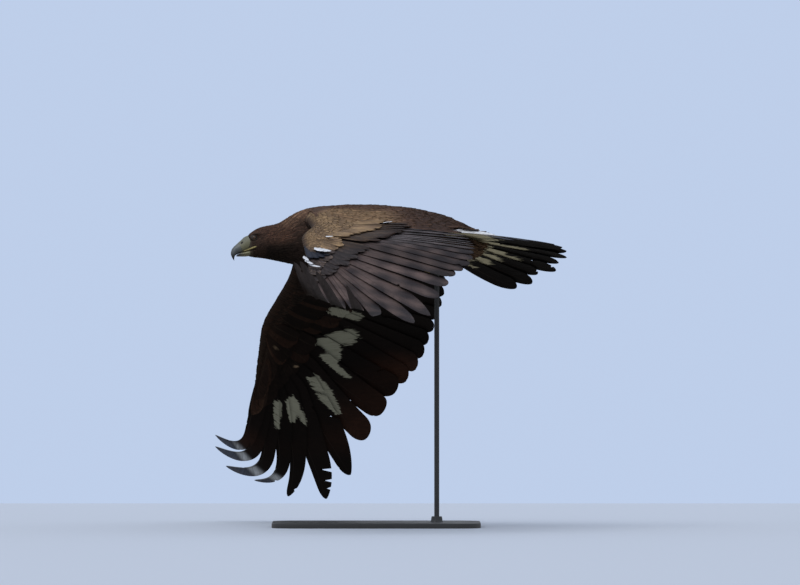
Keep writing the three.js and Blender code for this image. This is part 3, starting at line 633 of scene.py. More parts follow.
def featherMaterial(name, gloss, edge, amount, white=(0.5, 0.5, 0.42), shaft=(0.04, 0.028, 0.02),
                    streaks=0.35, ragged=0.5):
    values = {"Edge": edge + (1,), "Edge amount": amount, "White": white + (1,), "Shaft": shaft + (1,),
              "Streaks": streaks, "Ragged": ragged}
    return groupMaterial(name, featherGroup, {"Specular IOR Level": gloss}, values, 0.0005)


def grainMaterial(name, constants, scale, amount, rough, stretch=(1, 1, 1), bump=0.0002):
    values = {"Scale": scale, "Stretch": stretch, "Amount": amount, "Rough low": rough[0],
              "Rough high": rough[1]}
    return groupMaterial(name, grainGroup, constants, values, bump)


materials = {
    "coat": featherMaterial("bodyFeathers", 0.1, (0.24, 0.14, 0.085), 0.5, streaks=0.7),
    "flight": featherMaterial("flightFeathers", 0.1, (0.12, 0.095, 0.085), 0.3, (0.38, 0.385, 0.3),
                              (0.03, 0.024, 0.02), streaks=0.6, ragged=2.2),
    "covert": featherMaterial("wingCoverts", 0.1, (0.27, 0.19, 0.12), 0.45, (0.39, 0.395, 0.31), streaks=0.7,
                              ragged=2.2),
    "down": featherMaterial("whiteTufts", 0.2, (0.8, 0.82, 0.86), 0.2, shaft=(0.5, 0.5, 0.5), streaks=0.25),
    "tail": featherMaterial("tailFeathers", 0.1, (0.09, 0.06, 0.05), 0.3, (0.92, 0.86, 0.6),
                            (0.06, 0.04, 0.03), ragged=2.4),
    "skin": grainMaterial("downySkin", {"Specular IOR Level": 0.15}, 420.0, 0.9, (0.8, 0.95), bump=0.0008),
    "bill": grainMaterial("billHorn", {"Coat Weight": 0.25, "Coat Roughness": 0.2}, 160.0, 0.35, (0.25, 0.4),
                          (0.25, 1, 1)),
    "cere": grainMaterial("waxySkin", {"Specular IOR Level": 0.4}, 420.0, 0.35, (0.4, 0.6), bump=0.0003),
    "eye": grainMaterial("eyeGloss", {"Coat Weight": 0.5, "Coat Roughness": 0.03, "Specular IOR Level": 0.25},
                         500.0, 0.3, (0.08, 0.14), bump=0.00002),
    "foot": grainMaterial("scaledToes", {"Specular IOR Level": 0.4}, 520.0, 0.5, (0.45, 0.65), bump=0.0005),
    "claw": grainMaterial("clawHorn", {"Coat Weight": 0.4, "Coat Roughness": 0.15}, 220.0, 0.4, (0.2, 0.35),
                          (1, 1, 0.3)),
    "stand": grainMaterial("powderCoat", {"Specular IOR Level": 0.45}, 1500.0, 0.3, (0.42, 0.56),
                           bump=0.00025),
}


def finish(piece, material, slot, *nodes):
    # the material, a slot name that is not used, the body it rides on and the solids that it stands for
    piece.data.materials.append(materials[material])
    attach(piece, "root")
    if nodes:
        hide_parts(*nodes)


# Flight feathers of the arm and the hand, from the innermost out: where each tip lies on the wing sheet,
# how far a finger's end curls off it, and each vane's own shape.
armTips = [(74, 322), (98, 330), (124, 335), (160, 338), (200, 338), (245, 337),
           (293, 333), (343, 328), (389, 319), (431, 311), (472, 298), (510, 277)]
handTips = [(545, 254), (610, 226), (687, 194), (795, 171), (873, 121),
            (886, 50), (880, 6), (850, -47), (796, -86), (752, -110)]
handCurls = [(0, 0, 0), (0, 0, 0), (0, 0, 0), (0, -4, 0), (8, -4, 15),
             (3, -25, 35), (21, -54, 118), (24, -72, 143), (19, -64, 146), (9, -47, 122)]
handShape = {"bow": [0.05, 0.05, 0.05, 0.04, 0.02, -0.04, -0.03, -0.02, -0.01, 0],
             "lead": [25, 22, 20, 17, 13, 11, 10, 9, 9, 8], "trail": [48, 48, 46, 56, 51, 44, 36, 34, 32, 30],
             "finger": [0, 0, 0, 0.06, 0.12, 0.22, 0.24, 0.22, 0.18, 0.16],
             "tipFrom": [0.84, 0.84, 0.8, 0.54, 0.6, 0.5, 0.54, 0.84, 0.88, 0.88],
             "tipPower": [2.2, 2.2, 2.1, 1.6, 2.0, 1.8, 1.9, 2.6, 2.8, 2.8],
             "tipEase": [0.5, 0.5, 0.55, 0.75, 0.75, 0.75, 0.7, 0.55, 0.5, 0.5]}
fingerTilt = {-1: -14, 1: 30}  # by side: the far wing's curled tips turn their broad side out
flightRows = {"arm": 40, "hand": 64}
flightVane = {"thick": 0.8, "shaft": 1.9, "dome": 0.9, "slant": 0.6}


def armFlights():
    # roots along two straight lines, from the body to the elbow and on to the wrist
    t = np.arange(12) / 11
    inner = mix(np.array([58, 84]), np.array([164, 60]), t[:, None] / 0.25)
    outer = mix(np.array([164, 60]), np.array([306, -26]), (t[:, None] - 0.25) / 0.75)
    lift = np.maximum(0, 9 - 2.25 * np.arange(12.0))
    roots = np.where(t[:, None] < 0.25, inner, outer)
    full = lambda v: np.full(12, float(v))
    return {"root": np.c_[roots, lift], "tip": np.c_[np.array(armTips, float), lift], "bow": full(0.04),
            "lead": full(22), "trail": full(43), "tilt": 0.5 + 3.5 * smooth(t, 0, 0.4), "tipTilt": full(4),
            "curl": np.zeros((12, 3)), "finger": full(0), "tipFrom": full(0.84), "tipPower": full(2.2),
            "tipEase": full(0.5), "bendPower": full(1.9)}


def handFlights(side=-1):
    # roots along one straight line, each a little lower than the last beyond the fifth
    i = np.arange(10)
    lift = -1.2 * np.maximum(0, i - 4)
    roots = mix(np.array([352, -44]), np.array([502, -80]), i[:, None] / 9)
    made = {"root": np.c_[roots, lift], "tip": np.c_[np.array(handTips, float), lift],
            "curl": np.array(handCurls, float), "tilt": np.full(10, 5.5),
            "tipTilt": np.where(i > 4, fingerTilt[side], 5.5), "bendPower": np.where(i > 5, 2.8, 1.9)}
    return {**made, **{key: np.array(value, float) for key, value in handShape.items()}}


def notches(count, rows, chance, most):
    # random barb splits: a depth for each station on both webs, mostly none
    found = most * draw.random((count, rows + 1, 2)) ** 2 * (draw.random((count, rows + 1, 2)) < chance)
    found[:, : rows // 4] = 0
    found[:, -2:] = 0
    return found


# flight feather colours: armLight is the feathers' own grey with a painted bluish sheen in it; under is the
# underside's own dark brown, darkened further as painted shade; rim and ash are painted sheens on the curled
# fingertips
flightColours = {
    "armDark": (0.024, 0.019, 0.021), "armLight": (0.125, 0.106, 0.112), "handDark": (0.024, 0.019, 0.021),
    "handLight": (0.085, 0.064, 0.064), "under": (0.007, 0.0045, 0.004), "rufous": (0.085, 0.032, 0.018),
    "rim": (0.8, 0.88, 0.97), "leaf": (0.1, 0.12, 0.17), "ash": (0.1, 0.085, 0.088),
    "brownLight": (0.1, 0.07, 0.064)}
# pale patches on the underside: a, b and radius at each one's start and end
underWhite = [
    (280, 78, 17, 310, 140, 15), (398, 60, 15, 380, 124, 28), (410, 86, 22, 446, 98, 16),
    (438, 74, 13, 505, 134, 9), (502, 46, 13, 548, 80, 20), (548, 80, 20, 608, 120, 9),
    (568, 4, 13, 644, 46, 7), (574, -6, 9, 636, 8, 5), (578, -32, 11, 655, -26, 7)]


def flightColour(part, f, side):
    tone = tones(len(f["root"]), 0.28)
    given = {key: np.array(value) for key, value in flightColours.items()}

    def colour(info):
        s, c, a = info["s"], info["c"], info["a"]
        light = tint(given[part + "Light"], given["brownLight"], smooth(a, 280, 420))
        band = 0.5 + 0.5 * np.sin(info["along"] / 13 + 5 * info["seed"] + c)
        web = 1 - smooth(np.abs(c), 0.2, 1)
        # broad patches of painted bluish-grey sheen over the top faces, laid by place on the wing
        sheenPatches = np.sin(a / 23 + info["b"] / 29 + 3 * info["seed"]) * np.sin(info["b"] / 17 - a / 37)
        along = 0.14 + 0.25 * (1 - smooth(s, 0.45, 0.7)) - 0.35 * smooth(s, 0.72, 1)
        share = np.clip(along + 0.3 * web + 0.12 * band + 0.62 * sheenPatches, 0, 1)
        top = tint(given[part + "Dark"], light, share)
        red = smooth(s, 0.5, 0.9) * smooth(a, 400, 470) * (1 - smooth(a, 660, 760))
        # the underside: the feather's own dark brown, darkened further as painted shade, with a rufous cast
        # on the inner hand
        under = tint(given["under"], given["rufous"], 0.5 * red * (0.3 + 0.7 * info["seed"]))
        paint = np.where(info["face"][..., None] > 0, top, under) * tone
        if part == "arm":
            return paint
        curled = smooth(s, 0.74, 0.9) * smooth(a, 700, 760) * (info["index"] > 5)
        # the near wing's curled fingertips are painted ash grey as a sheen
        if side < 0:
            return tint(paint, given["ash"], curled * 0.8)
        # on the far wing's curled fingertips the very ends take the leaf colour, and a band across each tip
        # and the leading web are painted pale as a sheen (rim)
        paint = tint(paint, given["leaf"], curled * smooth(s, 0.88, 0.92))
        pale = np.maximum(smooth(s, 0.81, 0.85) * (1 - smooth(s, 0.87, 0.91)), 0.8 * smooth(-c, 0.3, 0.9))
        return tint(paint, given["rim"], curled * pale * 0.9)

    return colour


def whiteBelow(info):
    # the underside's pale patches, weaker at each web's edge
    field = inPatches(underWhite, info["a"], info["b"]) * 1.3 - 0.35 * smooth(np.abs(info["c"]), 0.6, 1)
    return np.where(info["face"] < 0, field, -1.0)


# the split web of the right wing's broadest finger: how far out each slit is, and how deep
broadFinger = {"index": 4, "slits": ((0.8, 0.75), (0.875, 0.62), (0.93, 0.5))}


def makeFlights():
    for name, side in sides.items():
        arm, hand = armFlights(), handFlights(side)
        arm["notch"] = notches(12, flightRows["arm"], 0.04, 0.5)
        hand["notch"] = notches(10, flightRows["hand"], 0.04, 0.5)
        if side > 0:
            for share, deep in broadFinger["slits"]:
                row = int(flightRows["hand"] * (1 - (1 - share) ** (1 / stationPower)))
                hand["notch"][broadFinger["index"], row, 1] = deep
        for part, f, leadFrom in (("arm", arm, 0.84), ("hand", hand, 0.9)):
            f.update(flightVane, leadFrom=leadFrom)
            colour = flightColour(part, f, side)
            piece = putVanes("flights_" + name + "_" + part, onWing(side), f, colour, inRow(len(f["root"])),
                             flightRows[part], fineAcross, whiteBelow)
            finish(piece, "flight", "flight_feathers", "wing_" + name + "_" + part)


makeFlights()

# The tail: twelve feathers in a fan, the middle pair on top, with rows of coverts over and under their roots.
tailFan = {"half": 47, "count": 12, "length": 320, "root": 26, "rounding": 0.1, "bow": 0.17,
           "worn": {7: 0.965, 9: 0.93}, "outerBow": {10: -0.02, 11: -0.09}, "rows": 40}
tailVane = {"thick": 0.8, "shaft": 1.8, "dome": 0.9, "slant": 0.5, "leadFrom": 0.82, "leadPower": 1.8,
            "tipFrom": 0.8, "tipPower": 1.8}
# how far white runs out along each tail feather, in millimetres
tailWhite = np.array([205, 190, 150, 160, 120, 130, 196, 122, 196, 162, 156, 146.0])
# blue is the terminal band's dark colour with a painted bluish sheen; under is the feathers' own dark colour,
# darkened further as painted shade
tailColours = {"blue": (0.035, 0.04, 0.06), "brown": (0.085, 0.06, 0.05), "under": (0.006, 0.0042, 0.004)}


def tailFeathers():
    i = np.arange(tailFan["count"])
    share = 2 * i / (tailFan["count"] - 1) - 1
    angle = np.radians(tailFan["half"] * share)
    out = np.sign(share)
    worn = np.array([tailFan["worn"].get(k, 1) for k in i])
    reach = tailFan["length"] * (1 - tailFan["rounding"] * share**2) * worn
    lifted = np.where(out < 0, 3, 0) - (np.abs(i - 5.5) - 0.5)
    at = lambda r: np.stack([r * np.cos(angle), r * np.sin(angle), lifted], -1)
    more = np.array([tailFan["outerBow"].get(k, 0) for k in i])
    return {"root": at(tailFan["root"]), "tip": at(reach), "bow": -tailFan["bow"] * share + more,
            "lead": np.where(out > 0, 34.0, 23.0), "trail": np.where(out > 0, 23.0, 34.0), "tilt": -3.0 * out,
            **tailVane}


def makeTail():
    f = tailFeathers()
    count, rows = tailFan["count"], tailFan["rows"]
    f["notch"] = notches(count, rows, 0.05, 0.5)
    tone = tones(count, 0.12)

    def colour(info):
        # on top, brown at the base into the dark terminal band, whose bluish tone is a painted sheen; the
        # underside is darkened further as painted shade
        band = 0.5 + 0.5 * np.sin(info["along"] / 11 + 4 * info["seed"])
        top = tint(np.array(tailColours["brown"]), tailColours["blue"], smooth(info["along"], 150, 230))
        top = top * (0.85 + 0.3 * band[..., None])
        return np.where(info["face"][..., None] > 0, top, np.array(tailColours["under"])) * tone

    def spot(info):
        # tongues of white from the base, wide there and narrow at their ends
        hidden = (info["face"] > 0) & (np.abs(info["index"] - 5.5) < 4)
        end = tailWhite[info["index"]] - np.where(hidden, 90, 0)
        gone = 0.7 * smooth(np.sin(info["along"] / 21 + 11 * info["seed"] + 2 * info["c"]), 0.3, 1)
        outer = 1.3 * smooth(info["c"] * np.sign(info["index"] - 5.5), 0.0, 0.7)
        return (end - info["along"]) / 50 - 0.9 * info["c"] ** 2 - gone - outer

    piece = putVanes("tail_feathers", onTail, f, colour, inRow(count), rows, fineAcross, spot)
    finish(piece, "tail", "flight_feathers", "tail")


# each row: count, half angle, start and end beyond the fan's root, heights at root and tip
tailCovertRows = {
    "upper": [(15, 44, -6, 118, 10, 13), (13, 38, -34, 92, 13, 18), (11, 30, -60, 62, 15, 23)],
    "under": [(13, 42, -8, 100, -9, -12), (11, 36, -30, 80, -11, -16), (9, 28, -56, 56, -12, -24)]}
tailCovertColours = {"upper": ((0.075, 0.052, 0.046), (0.15, 0.11, 0.09)),
                     "under": ((0.05, 0.028, 0.02), (0.3, 0.2, 0.12))}
tailCovertVane = {"lead": 13, "trail": 13, "dome": 2.2, "thick": 0.5, "shaft": 0.9, "tipFrom": 0.6,
                  "tipPower": 2, "quill": 0.5}


def makeTailCoverts():
    for label, rows in tailCovertRows.items():
        found = []
        for count, half, start, end, low, high in rows:
            share = (np.arange(count) + 0.4 * (draw.random(count) - 0.5)) / (count - 1)
            angle = np.radians(half * (2 * share - 1))
            full = lambda v: np.full(count, float(v))
            at = lambda r, h: np.stack([r * np.cos(angle), r * np.sin(angle), full(h)], -1)
            reach = tailFan["root"] + end * (1 + 0.12 * (draw.random(count) - 0.5))
            found.append({"root": at(tailFan["root"] + start, low), "tip": at(reach, high)})
        f = {**stack(found), **tailCovertVane}
        tone = tones(len(f["root"]), 0.25)
        base, pale = (np.array(v) for v in tailCovertColours[label])
        colour = lambda info: tint(base, pale, 0.75 * smooth(info["s"], 0.5, 1) * info["seed"]) * tone
        patch = unwrapped(f["root"][:, 0], -60, 120, f["root"][:, 1], -90, 90)
        piece = putVanes("tail_coverts_" + label, onTail, f, colour, patch, 8, middleAcross)
        finish(piece, "coat", "plumage")


makeTail()
makeTailCoverts()

# Coverts. Greater and median rows start by the flight feathers' roots; lesser rows follow the cover line.
# under and underWarm are the underside's own dark brown, darkened further as painted shade
coatColours = {
    "dark": (0.05, 0.03, 0.025), "brown": (0.115, 0.064, 0.046), "gold": (0.38, 0.25, 0.135),
    "under": (0.008, 0.005, 0.004), "underWarm": (0.024, 0.0135, 0.01), "rust": (0.1, 0.042, 0.024),
    "buff": (0.4, 0.29, 0.19), "ash": (0.09, 0.085, 0.095)}
rgb = {key: np.array(value) for key, value in coatColours.items()}
upperRows = [
    {"density": 1.4, "back": -12, "length": 138, "from": 5.5, "to": 7.5, "lead": 17, "trail": 23,
     "gold": 0.1},
    {"density": 1.7, "back": -34, "length": 100, "from": 7, "to": 11.5, "lead": 15, "trail": 19,
     "gold": 1.0}]
underRows = [
    {"density": 1.4, "back": -10, "length": 122, "from": -4.5, "to": -7, "lead": 18, "trail": 24, "tilt": -3},
    {"density": 1.7, "back": -30, "length": 92, "from": -7, "to": -10.5, "lead": 15, "trail": 19, "tilt": -3}]
covertVane = {"bow": 0.04, "thick": 0.45, "shaft": 1.0, "dome": 1.4, "slant": 0.5, "leadFrom": 0.66,
              "leadPower": 2, "tipFrom": 0.66, "tipPower": 2.0, "quill": 0.5, "ease": 0.8}
# how far back the golden shoulder runs along the wing, and its small buff specks below
goldBack = lineThrough([
    [0, 168], [100, 160], [200, 140], [272, 118], [348, 84], [408, 48], [440, -10], [480, -70]])
buffSpecks = [(408, -54, 4, 413, -50, 3), (464, 2, 4, 469, 7, 3), (310, -92, 5, 326, -88, 4)]


def alongFlights(f, factor):
    # more feathers between the given ones: every value interpolated at factor times as many places
    count = len(f["root"])
    at = np.linspace(0, count - 1, int(count * factor))
    i = np.minimum(at.astype(int), count - 2)
    t = at - i
    return {key: mix(v[i], v[i + 1], t if v.ndim == 1 else t[:, None]) for key, v in f.items()}


def covertRow(f, row):
    # feathers that lie along the given ones, from some way behind their roots, at the row's own heights
    way = unit((f["tip"] - f["root"])[:, :2])
    count = len(way)
    back = (row["back"] + 6 * (draw.random(count) - 0.5))[:, None]
    length = (row["length"] * (1 + 0.16 * (draw.random(count) - 0.5)))[:, None]
    at = lambda run, h: np.c_[f["root"][:, :2] + way * run, f["root"][:, 2] + h]
    full = lambda v: np.full(count, float(v))
    return {"root": at(back, row["from"]), "tip": at(back + length, row["to"]),
            "lead": row["lead"] * np.minimum(1, f["lead"] / 20), "trail": full(row["trail"]),
            "tilt": full(row.get("tilt", 4)), "gold": full(row.get("gold", 0))}


def upperColour(f):
    tone, goldShare = tones(len(f["root"]), 0.2), f["gold"][:, None, None, None]

    def colour(info):
        a, b = info["a"], info["b"]
        inside = smooth(goldBack(a) - b, -8, 14) * (1 - smooth(a, 415, 470))
        inside = inside * smooth(b - leadingLine(a), 2, 24)
        patchy = smooth(np.sin(a / 17 + 7 * info["seed"]) + np.sin(b / 11 + 3 * info["seed"]), -1.3, 0.9)
        lighter = (0.35 + 0.35 * np.sin(40 * info["seed"])) * (0.3 + 0.7 * goldShare)
        base = tint(rgb["dark"], rgb["brown"], lighter)
        base = tint(base, rgb["ash"], 0.6 * smooth(a, 380, 470)) * (0.55 + 0.45 * goldShare[..., None])
        warm = tint(base, rgb["gold"], inside * goldShare * (0.4 + 0.6 * patchy))
        centre = 1 - smooth(np.abs(info["c"]), 0.1, 0.7)
        return warm * (1 - 0.38 * centre[..., None]) * tone

    return colour


def underColour(f):
    tone = tones(len(f["root"]), 0.25)

    def colour(info):
        a, b = info["a"], info["b"]
        # the underwing coverts' own dark brown, warmer by the leading edge; their darkness is partly painted
        # shade
        warm = (1 - smooth(b - leadingLine(a), 8, 60)) * 0.9 + 0.25 * info["seed"]
        base = tint(rgb["under"], rgb["underWarm"], np.clip(warm, 0, 1))
        base = tint(base, rgb["rust"], 0.15 * (info["seed"] > 0.75))
        return tint(base * tone, rgb["buff"], 0.7 * smooth(inPatches(buffSpecks, a, b), -0.1, 0.5))

    return colour


# which way small coverts point along the wing, and each row's share of the chord and its size
directionAt = lineThrough([
    [0, 2], [58, 4], [164, 12], [306, 32], [352, 34], [400, 50], [450, 70], [502, 88], [560, 92]])
lesserShares = ((0.0, 0.3), (0.05, 0.31), (0.1, 0.33), (0.16, 0.37), (0.22, 0.41), (0.29, 0.47), (0.36, 0.54),
                (0.44, 0.62), (0.52, 0.7), (0.6, 0.8))
lesserForm = {"from": -20, "to": 562, "step": 13, "length": 66, "wide": 10.5, "chord": 130}
lesserVane = {"bow": 0.02, "thick": 0.4, "shaft": 0.5, "leadFrom": 0.55, "leadPower": 2, "tipFrom": 0.55,
              "tipPower": 2, "quill": 0.5, "ease": 0.75}


def lesserRows(gold):
    # rows of small coverts from the leading edge back, each longer than the one before it
    rows = []
    for share, size in lesserShares:
        step = lesserForm["step"] * size + 1.5
        a = np.arange(lesserForm["from"] + 8 * draw.random(), lesserForm["to"], step)
        count = len(a)
        jitter = lambda: draw.random(count) - 0.5
        a = a + jitter() * step * 0.5
        chord = trailingLine(a) - leadingLine(a) + 8
        scale = np.clip(chord / lesserForm["chord"], 0.45, 1)
        length = lesserForm["length"] * size * mix(scale, 1, 0.4) * (1 + 0.2 * jitter())
        angle = np.radians(directionAt(a) * smooth(share + 0.2, 0, 0.5) + 9 * jitter())
        run = chord * share + 3.5 + 3 * jitter()
        full = lambda v: np.full(count, float(v))
        high = 1.9 + 3.0 * size + 0.9 * jitter()
        tip = np.stack([a + length * np.sin(angle), run + length * np.cos(angle), high], -1)
        wide = lesserForm["wide"] * size * (0.6 + 0.4 * scale) + 2
        rows.append({"root": np.stack([a, run, full(0.3)], -1), "tip": tip, "lead": wide,
                     "trail": wide * 1.1, "dome": wide * 0.14, "gold": full(gold)})
    return {**stack(rows), **lesserVane}


def fromEdge(colourOf):
    # a colour of the wing sheet, looked up for feathers laid by their run from the leading edge
    return lambda info: colourOf({**info, "b": leadingLine(info["a"]) + 0.93 * info["b"]})


def makeCoverts():
    faces = ((1, upperRows, "upper", upperColour), (-1, underRows, "under", underColour))
    for name, side in sides.items():
        for face, rows, label, colourOf in faces:
            f = stack([covertRow(alongFlights(flights, row["density"]), row)
                       for row in rows for flights in (armFlights(), handFlights())])
            f.update(covertVane)
            patch = unwrapped(f["root"][:, 0], -40, 560, f["root"][:, 1], -120, 160)
            piece = putVanes("coverts_" + name + "_" + label, onWing(side), f, colourOf(f), patch, 8,
                             middleAcross, whiteBelow if face < 0 else None)
            finish(piece, "covert", "flight_feathers")
            small = lesserRows(1.0 if face > 0 else 0.0)
            patch = unwrapped(small["root"][:, 0], -40, 570, small["root"][:, 1], -10, 140)
            colour = fromEdge(colourOf(small))
            piece = putVanes("lesser_" + name + "_" + label, onCover(side, face), small, colour, patch)
            finish(piece, "covert", "plumage")


makeCoverts()

# The alula: the thumb's dark feathers along the hand's leading edge. White tufts stand by the left one and
# over the tail's near edge.
alulaForm = {
    "tips": {"left": [(508, -86), (506, -72), (498, -56), (484, -42)],
             "right": [(446, -78), (462, -80), (478, -82), (490, -80)]},
    "root": (372, -78), "step": (9.0, 4.0), "low": 3, "high": 17.5, "fall": 1.2,
    "edge": (0.012, 0.015, 0.024), "middle": (0.03, 0.034, 0.05)}
alulaVane = {"bow": 0.03, "lead": 7, "trail": 14, "tilt": 6, "thick": 0.7, "shaft": 1.1, "dome": 1.2,
             "slant": 0.5, "tipFrom": 0.7, "tipPower": 2}
tuftWhite = (0.78, 0.81, 0.87)
tuftVane = {"bow": 0.06, "thick": 0.5, "shaft": 0.4, "dome": 0.8, "tipFrom": 0.5, "tipPower": 1.6,
            "leadFrom": 0.5, "quill": 0.4}
tufts = {
    "white_tufts": {"sheet": onWing(-1), "low": 13, "high": 21, "tilt": 0, "runs": [
        (488, -98, 532, -92, 5), (508, -97, 552, -84, 5), (534, -91, 568, -68, 4.5),
        (436, -66, 474, -50, 8), (438, -57, 478, -42, 8), (442, -48, 476, -34, 7),
        (356, -30, 382, -18, 5.5), (94, 138, 112, 158, 5), (98, 132, 122, 150, 5)]},
    "white_tail_tufts": {"sheet": onTail, "low": 7, "high": 1, "tilt": -45, "runs": [
        (34, -62, 152, -116, 7), (52, -72, 122, -116, 5)]}}


def makeAlula():
    i = np.arange(4)
    (a, b), (stepA, stepB) = alulaForm["root"], alulaForm["step"]
    edge, middle = np.array(alulaForm["edge"]), alulaForm["middle"]
    for name, side in sides.items():
        tips = np.array(alulaForm["tips"][name], float)
        f = {"root": np.stack([a + stepA * i, b + stepB * i, alulaForm["low"] + 0.0 * i], -1),
             "tip": np.c_[tips, alulaForm["high"] - alulaForm["fall"] * i], **alulaVane}
        colour = lambda info: tint(edge, middle, 1 - np.abs(info["c"]))
        piece = putVanes("alula_" + name, onWing(side), f, colour, inRow(4), 18, fineAcross)
        finish(piece, "flight", "flight_feathers", "wing_" + name + "_alula")


def makeTufts():
    # each tuft is one loose feather from (a, b) to (a, b) on its sheet, as wide as its last value says
    white = lambda info: np.array(tuftWhite)
    for name, given in tufts.items():
        runs = np.array(given["runs"])
        count = len(runs)
        full = lambda v: np.full(count, float(v))
        f = {"root": np.c_[runs[:, :2], full(given["low"])], "tip": np.c_[runs[:, 2:4], full(given["high"])],
             "lead": runs[:, 4], "trail": runs[:, 4], "tilt": given["tilt"],
             "notch": notches(count, 16, 0.3, 0.5), **tuftVane}
        low, high = runs.min(0) - 20, runs.max(0) + 20
        patch = unwrapped(runs[:, 0], low[0], high[0], runs[:, 1], low[1], high[1])
        finish(putVanes(name, given["sheet"], f, white, patch, 16, middleAcross), "down", "plumage")


makeAlula()
makeTufts()

# The body coat: rows of feathers along x, each row spread round the body, longer towards the tail.
coatLength = lineThrough([
    [-180, 7], [-166, 8.5], [-140, 12], [-112, 24], [-80, 36], [-40, 42], [20, 46], [120, 52], [220, 56],
    [330, 62]])
coatStep = lineThrough([
    [-180, 2.5], [-166, 2.8], [-140, 3.4], [-112, 4.3], [-80, 5.2], [-40, 6.8], [20, 8.6], [120, 10],
    [330, 11]])
coatSpans = {"coat_head": (-175, -118, "plumage"), "coat_neck": (-118, -40, "nape"),
             "coat_trunk": (-40, 130, "plumage"), "coat_rump": (130, 352, "plumage")}
# colours of the body's markings; bodyColour says where each one lies
markings = {"crown": (0.078, 0.037, 0.026), "nape": (0.32, 0.19, 0.115), "neckSide": (0.12, 0.056, 0.036),
            "face": (0.048, 0.028, 0.022), "lores": (0.13, 0.115, 0.09), "vent": (0.2, 0.13, 0.075),
            "shank": (0.2, 0.13, 0.08)}


def coatRows(fromX, toX):
    rows, x, odd = [], fromX, 0
    while x < toX:
        length, step = float(coatLength(x)), float(coatStep(x))
        radius = float(bodyHalfWidth(x) + (bodyTop(x) - bodyBottom(x)) / 2) / 2
        count = int(2 * np.pi * radius / (step * 0.92))
        jitter = lambda: draw.random(count) - 0.5
        rows.append({"x": x + jitter() * step * 0.8, "radius": np.full(count, radius),
                     "angle": (np.arange(count) + 0.5 * (odd % 2) + 0.4 * jitter()) * 2 * np.pi / count,
                     "size": length * (1 + 0.24 * jitter()), "wide": np.full(count, step * 0.78)})
        x, odd = x + step * 0.9, odd + 1
    return stack(rows)


def bodyColour(x, angle):
    # brown above and nearly black below: the belly's own dark brown, with painted shade darkening it
    # downwards; then each marking by where it lies along and round the body
    up = np.sin(angle)
    colour = tint(rgb["under"], rgb["brown"], smooth(up, -0.65, 0.45))
    colour = tint(colour, rgb["dark"], 0.7 * smooth(x, 40, 200) * smooth(up, 0, 0.6))
    colour = tint(colour, markings["crown"], smooth(-x, 60, 100) * smooth(up, -0.45, 0.35))
    nape = smooth(x, -112, -84) * (1 - smooth(x, -52, -22)) * smooth(up, 0.1, 0.75)
    colour = tint(colour, markings["nape"], 0.85 * nape * (0.55 + 0.45 * np.sin(x / 4 + 23 * angle)))
    neckSide = smooth(x, -125, -95) * (1 - smooth(x, -50, -20))
    neckSide = neckSide * smooth(up, -0.4, 0.1) * (1 - smooth(up, 0.4, 0.7))
    neckSide = neckSide * (0.6 + 0.4 * np.sin(x / 7 + 19 * angle))
    colour = tint(colour, markings["neckSide"], 0.6 * neckSide)
    breast = smooth(x, -100, -60) * (1 - smooth(x, 0, 60)) * (1 - smooth(up, 0.45, 0.8))
    colour = tint(colour, tint(rgb["dark"], rgb["under"], 0.4), 0.7 * breast)
    face = smooth(-x, 126, 146) * (1 - smooth(up, 0.35, 0.7))
    colour = tint(colour, markings["face"], 0.75 * face)
    lores = smooth(-x, 160, 171) * (1 - smooth(up, 0.55, 0.95))
    colour = tint(colour, markings["lores"], 0.8 * lores)
    vent = smooth(x, 235, 290) * (1 - smooth(up, -0.5, 0.0))
    return tint(colour, markings["vent"], 0.7 * vent)


def coatFeathers(found, hackles):
    # hackles, from 0 to 1, makes a feather narrow and pointed
    sway = (draw.random(len(found["x"])) - 0.5) * 0.16 * found["size"]
    lift = 0.6 + 0.05 * found["size"] * (0.75 + 0.5 * draw.random(len(found["x"])))
    start, power = mix(0.5, 0.25, hackles), mix(2, 1.2, hackles)
    wide = found["wide"] * mix(1, 0.8, hackles)
    return {"root": np.stack([found["x"], 0 * sway, -0.8 - 0.02 * found["size"]], -1),
            "tip": np.stack([found["x"] + found["size"], sway, lift], -1), "lead": wide, "trail": wide,
            "thick": 0.25 + 0.004 * found["size"], "shaft": 0.1 + 0.006 * found["size"], "dome": wide * 0.18,
            "leadFrom": start, "leadPower": power, "tipFrom": start, "tipPower": power, "quill": 0.45,
            "ease": 0.7}


def onForm(place, found):
    # a feather's side steps are turned into angles by the form's radius at its root
    start, radius = found["angle"][:, None, None, None], found["radius"][:, None, None, None]
    return lambda x, aside, h: place(x, start + aside / radius, h)


def coverColour(found, tone, painter):
    # a form's own markings, with each feather darker along its middle
    def colour(info):
        angle = found["angle"][:, None, None, None] + info["b"] / found["radius"][:, None, None, None]
        centre = 1 - smooth(np.abs(info["c"]), 0.1, 0.8)
        return painter(info["a"] - 0.4 * info["along"], angle) * (1.1 - 0.5 * centre[..., None]) * tone

    return colour


cereBack = {"top": (-174, -12), "bottom": (-161, -46)}
eyeForm = {"x": -158, "y": 17.6, "z": -21, "r": 8.6, "forward": 22, "down": 6,
           "iris": (0.075, 0.034, 0.013), "pupil": (0.004, 0.003, 0.003), "rim": (0.02, 0.014, 0.01)}
eyeClear = (9.5, 8.0)  # half sizes of the bare patch round the eye
lidForm = {"half": 7.0, "above": 4.6, "below": 5.8, "thick": 0.8, "wide": 1.25, "around": 48, "across": 12}


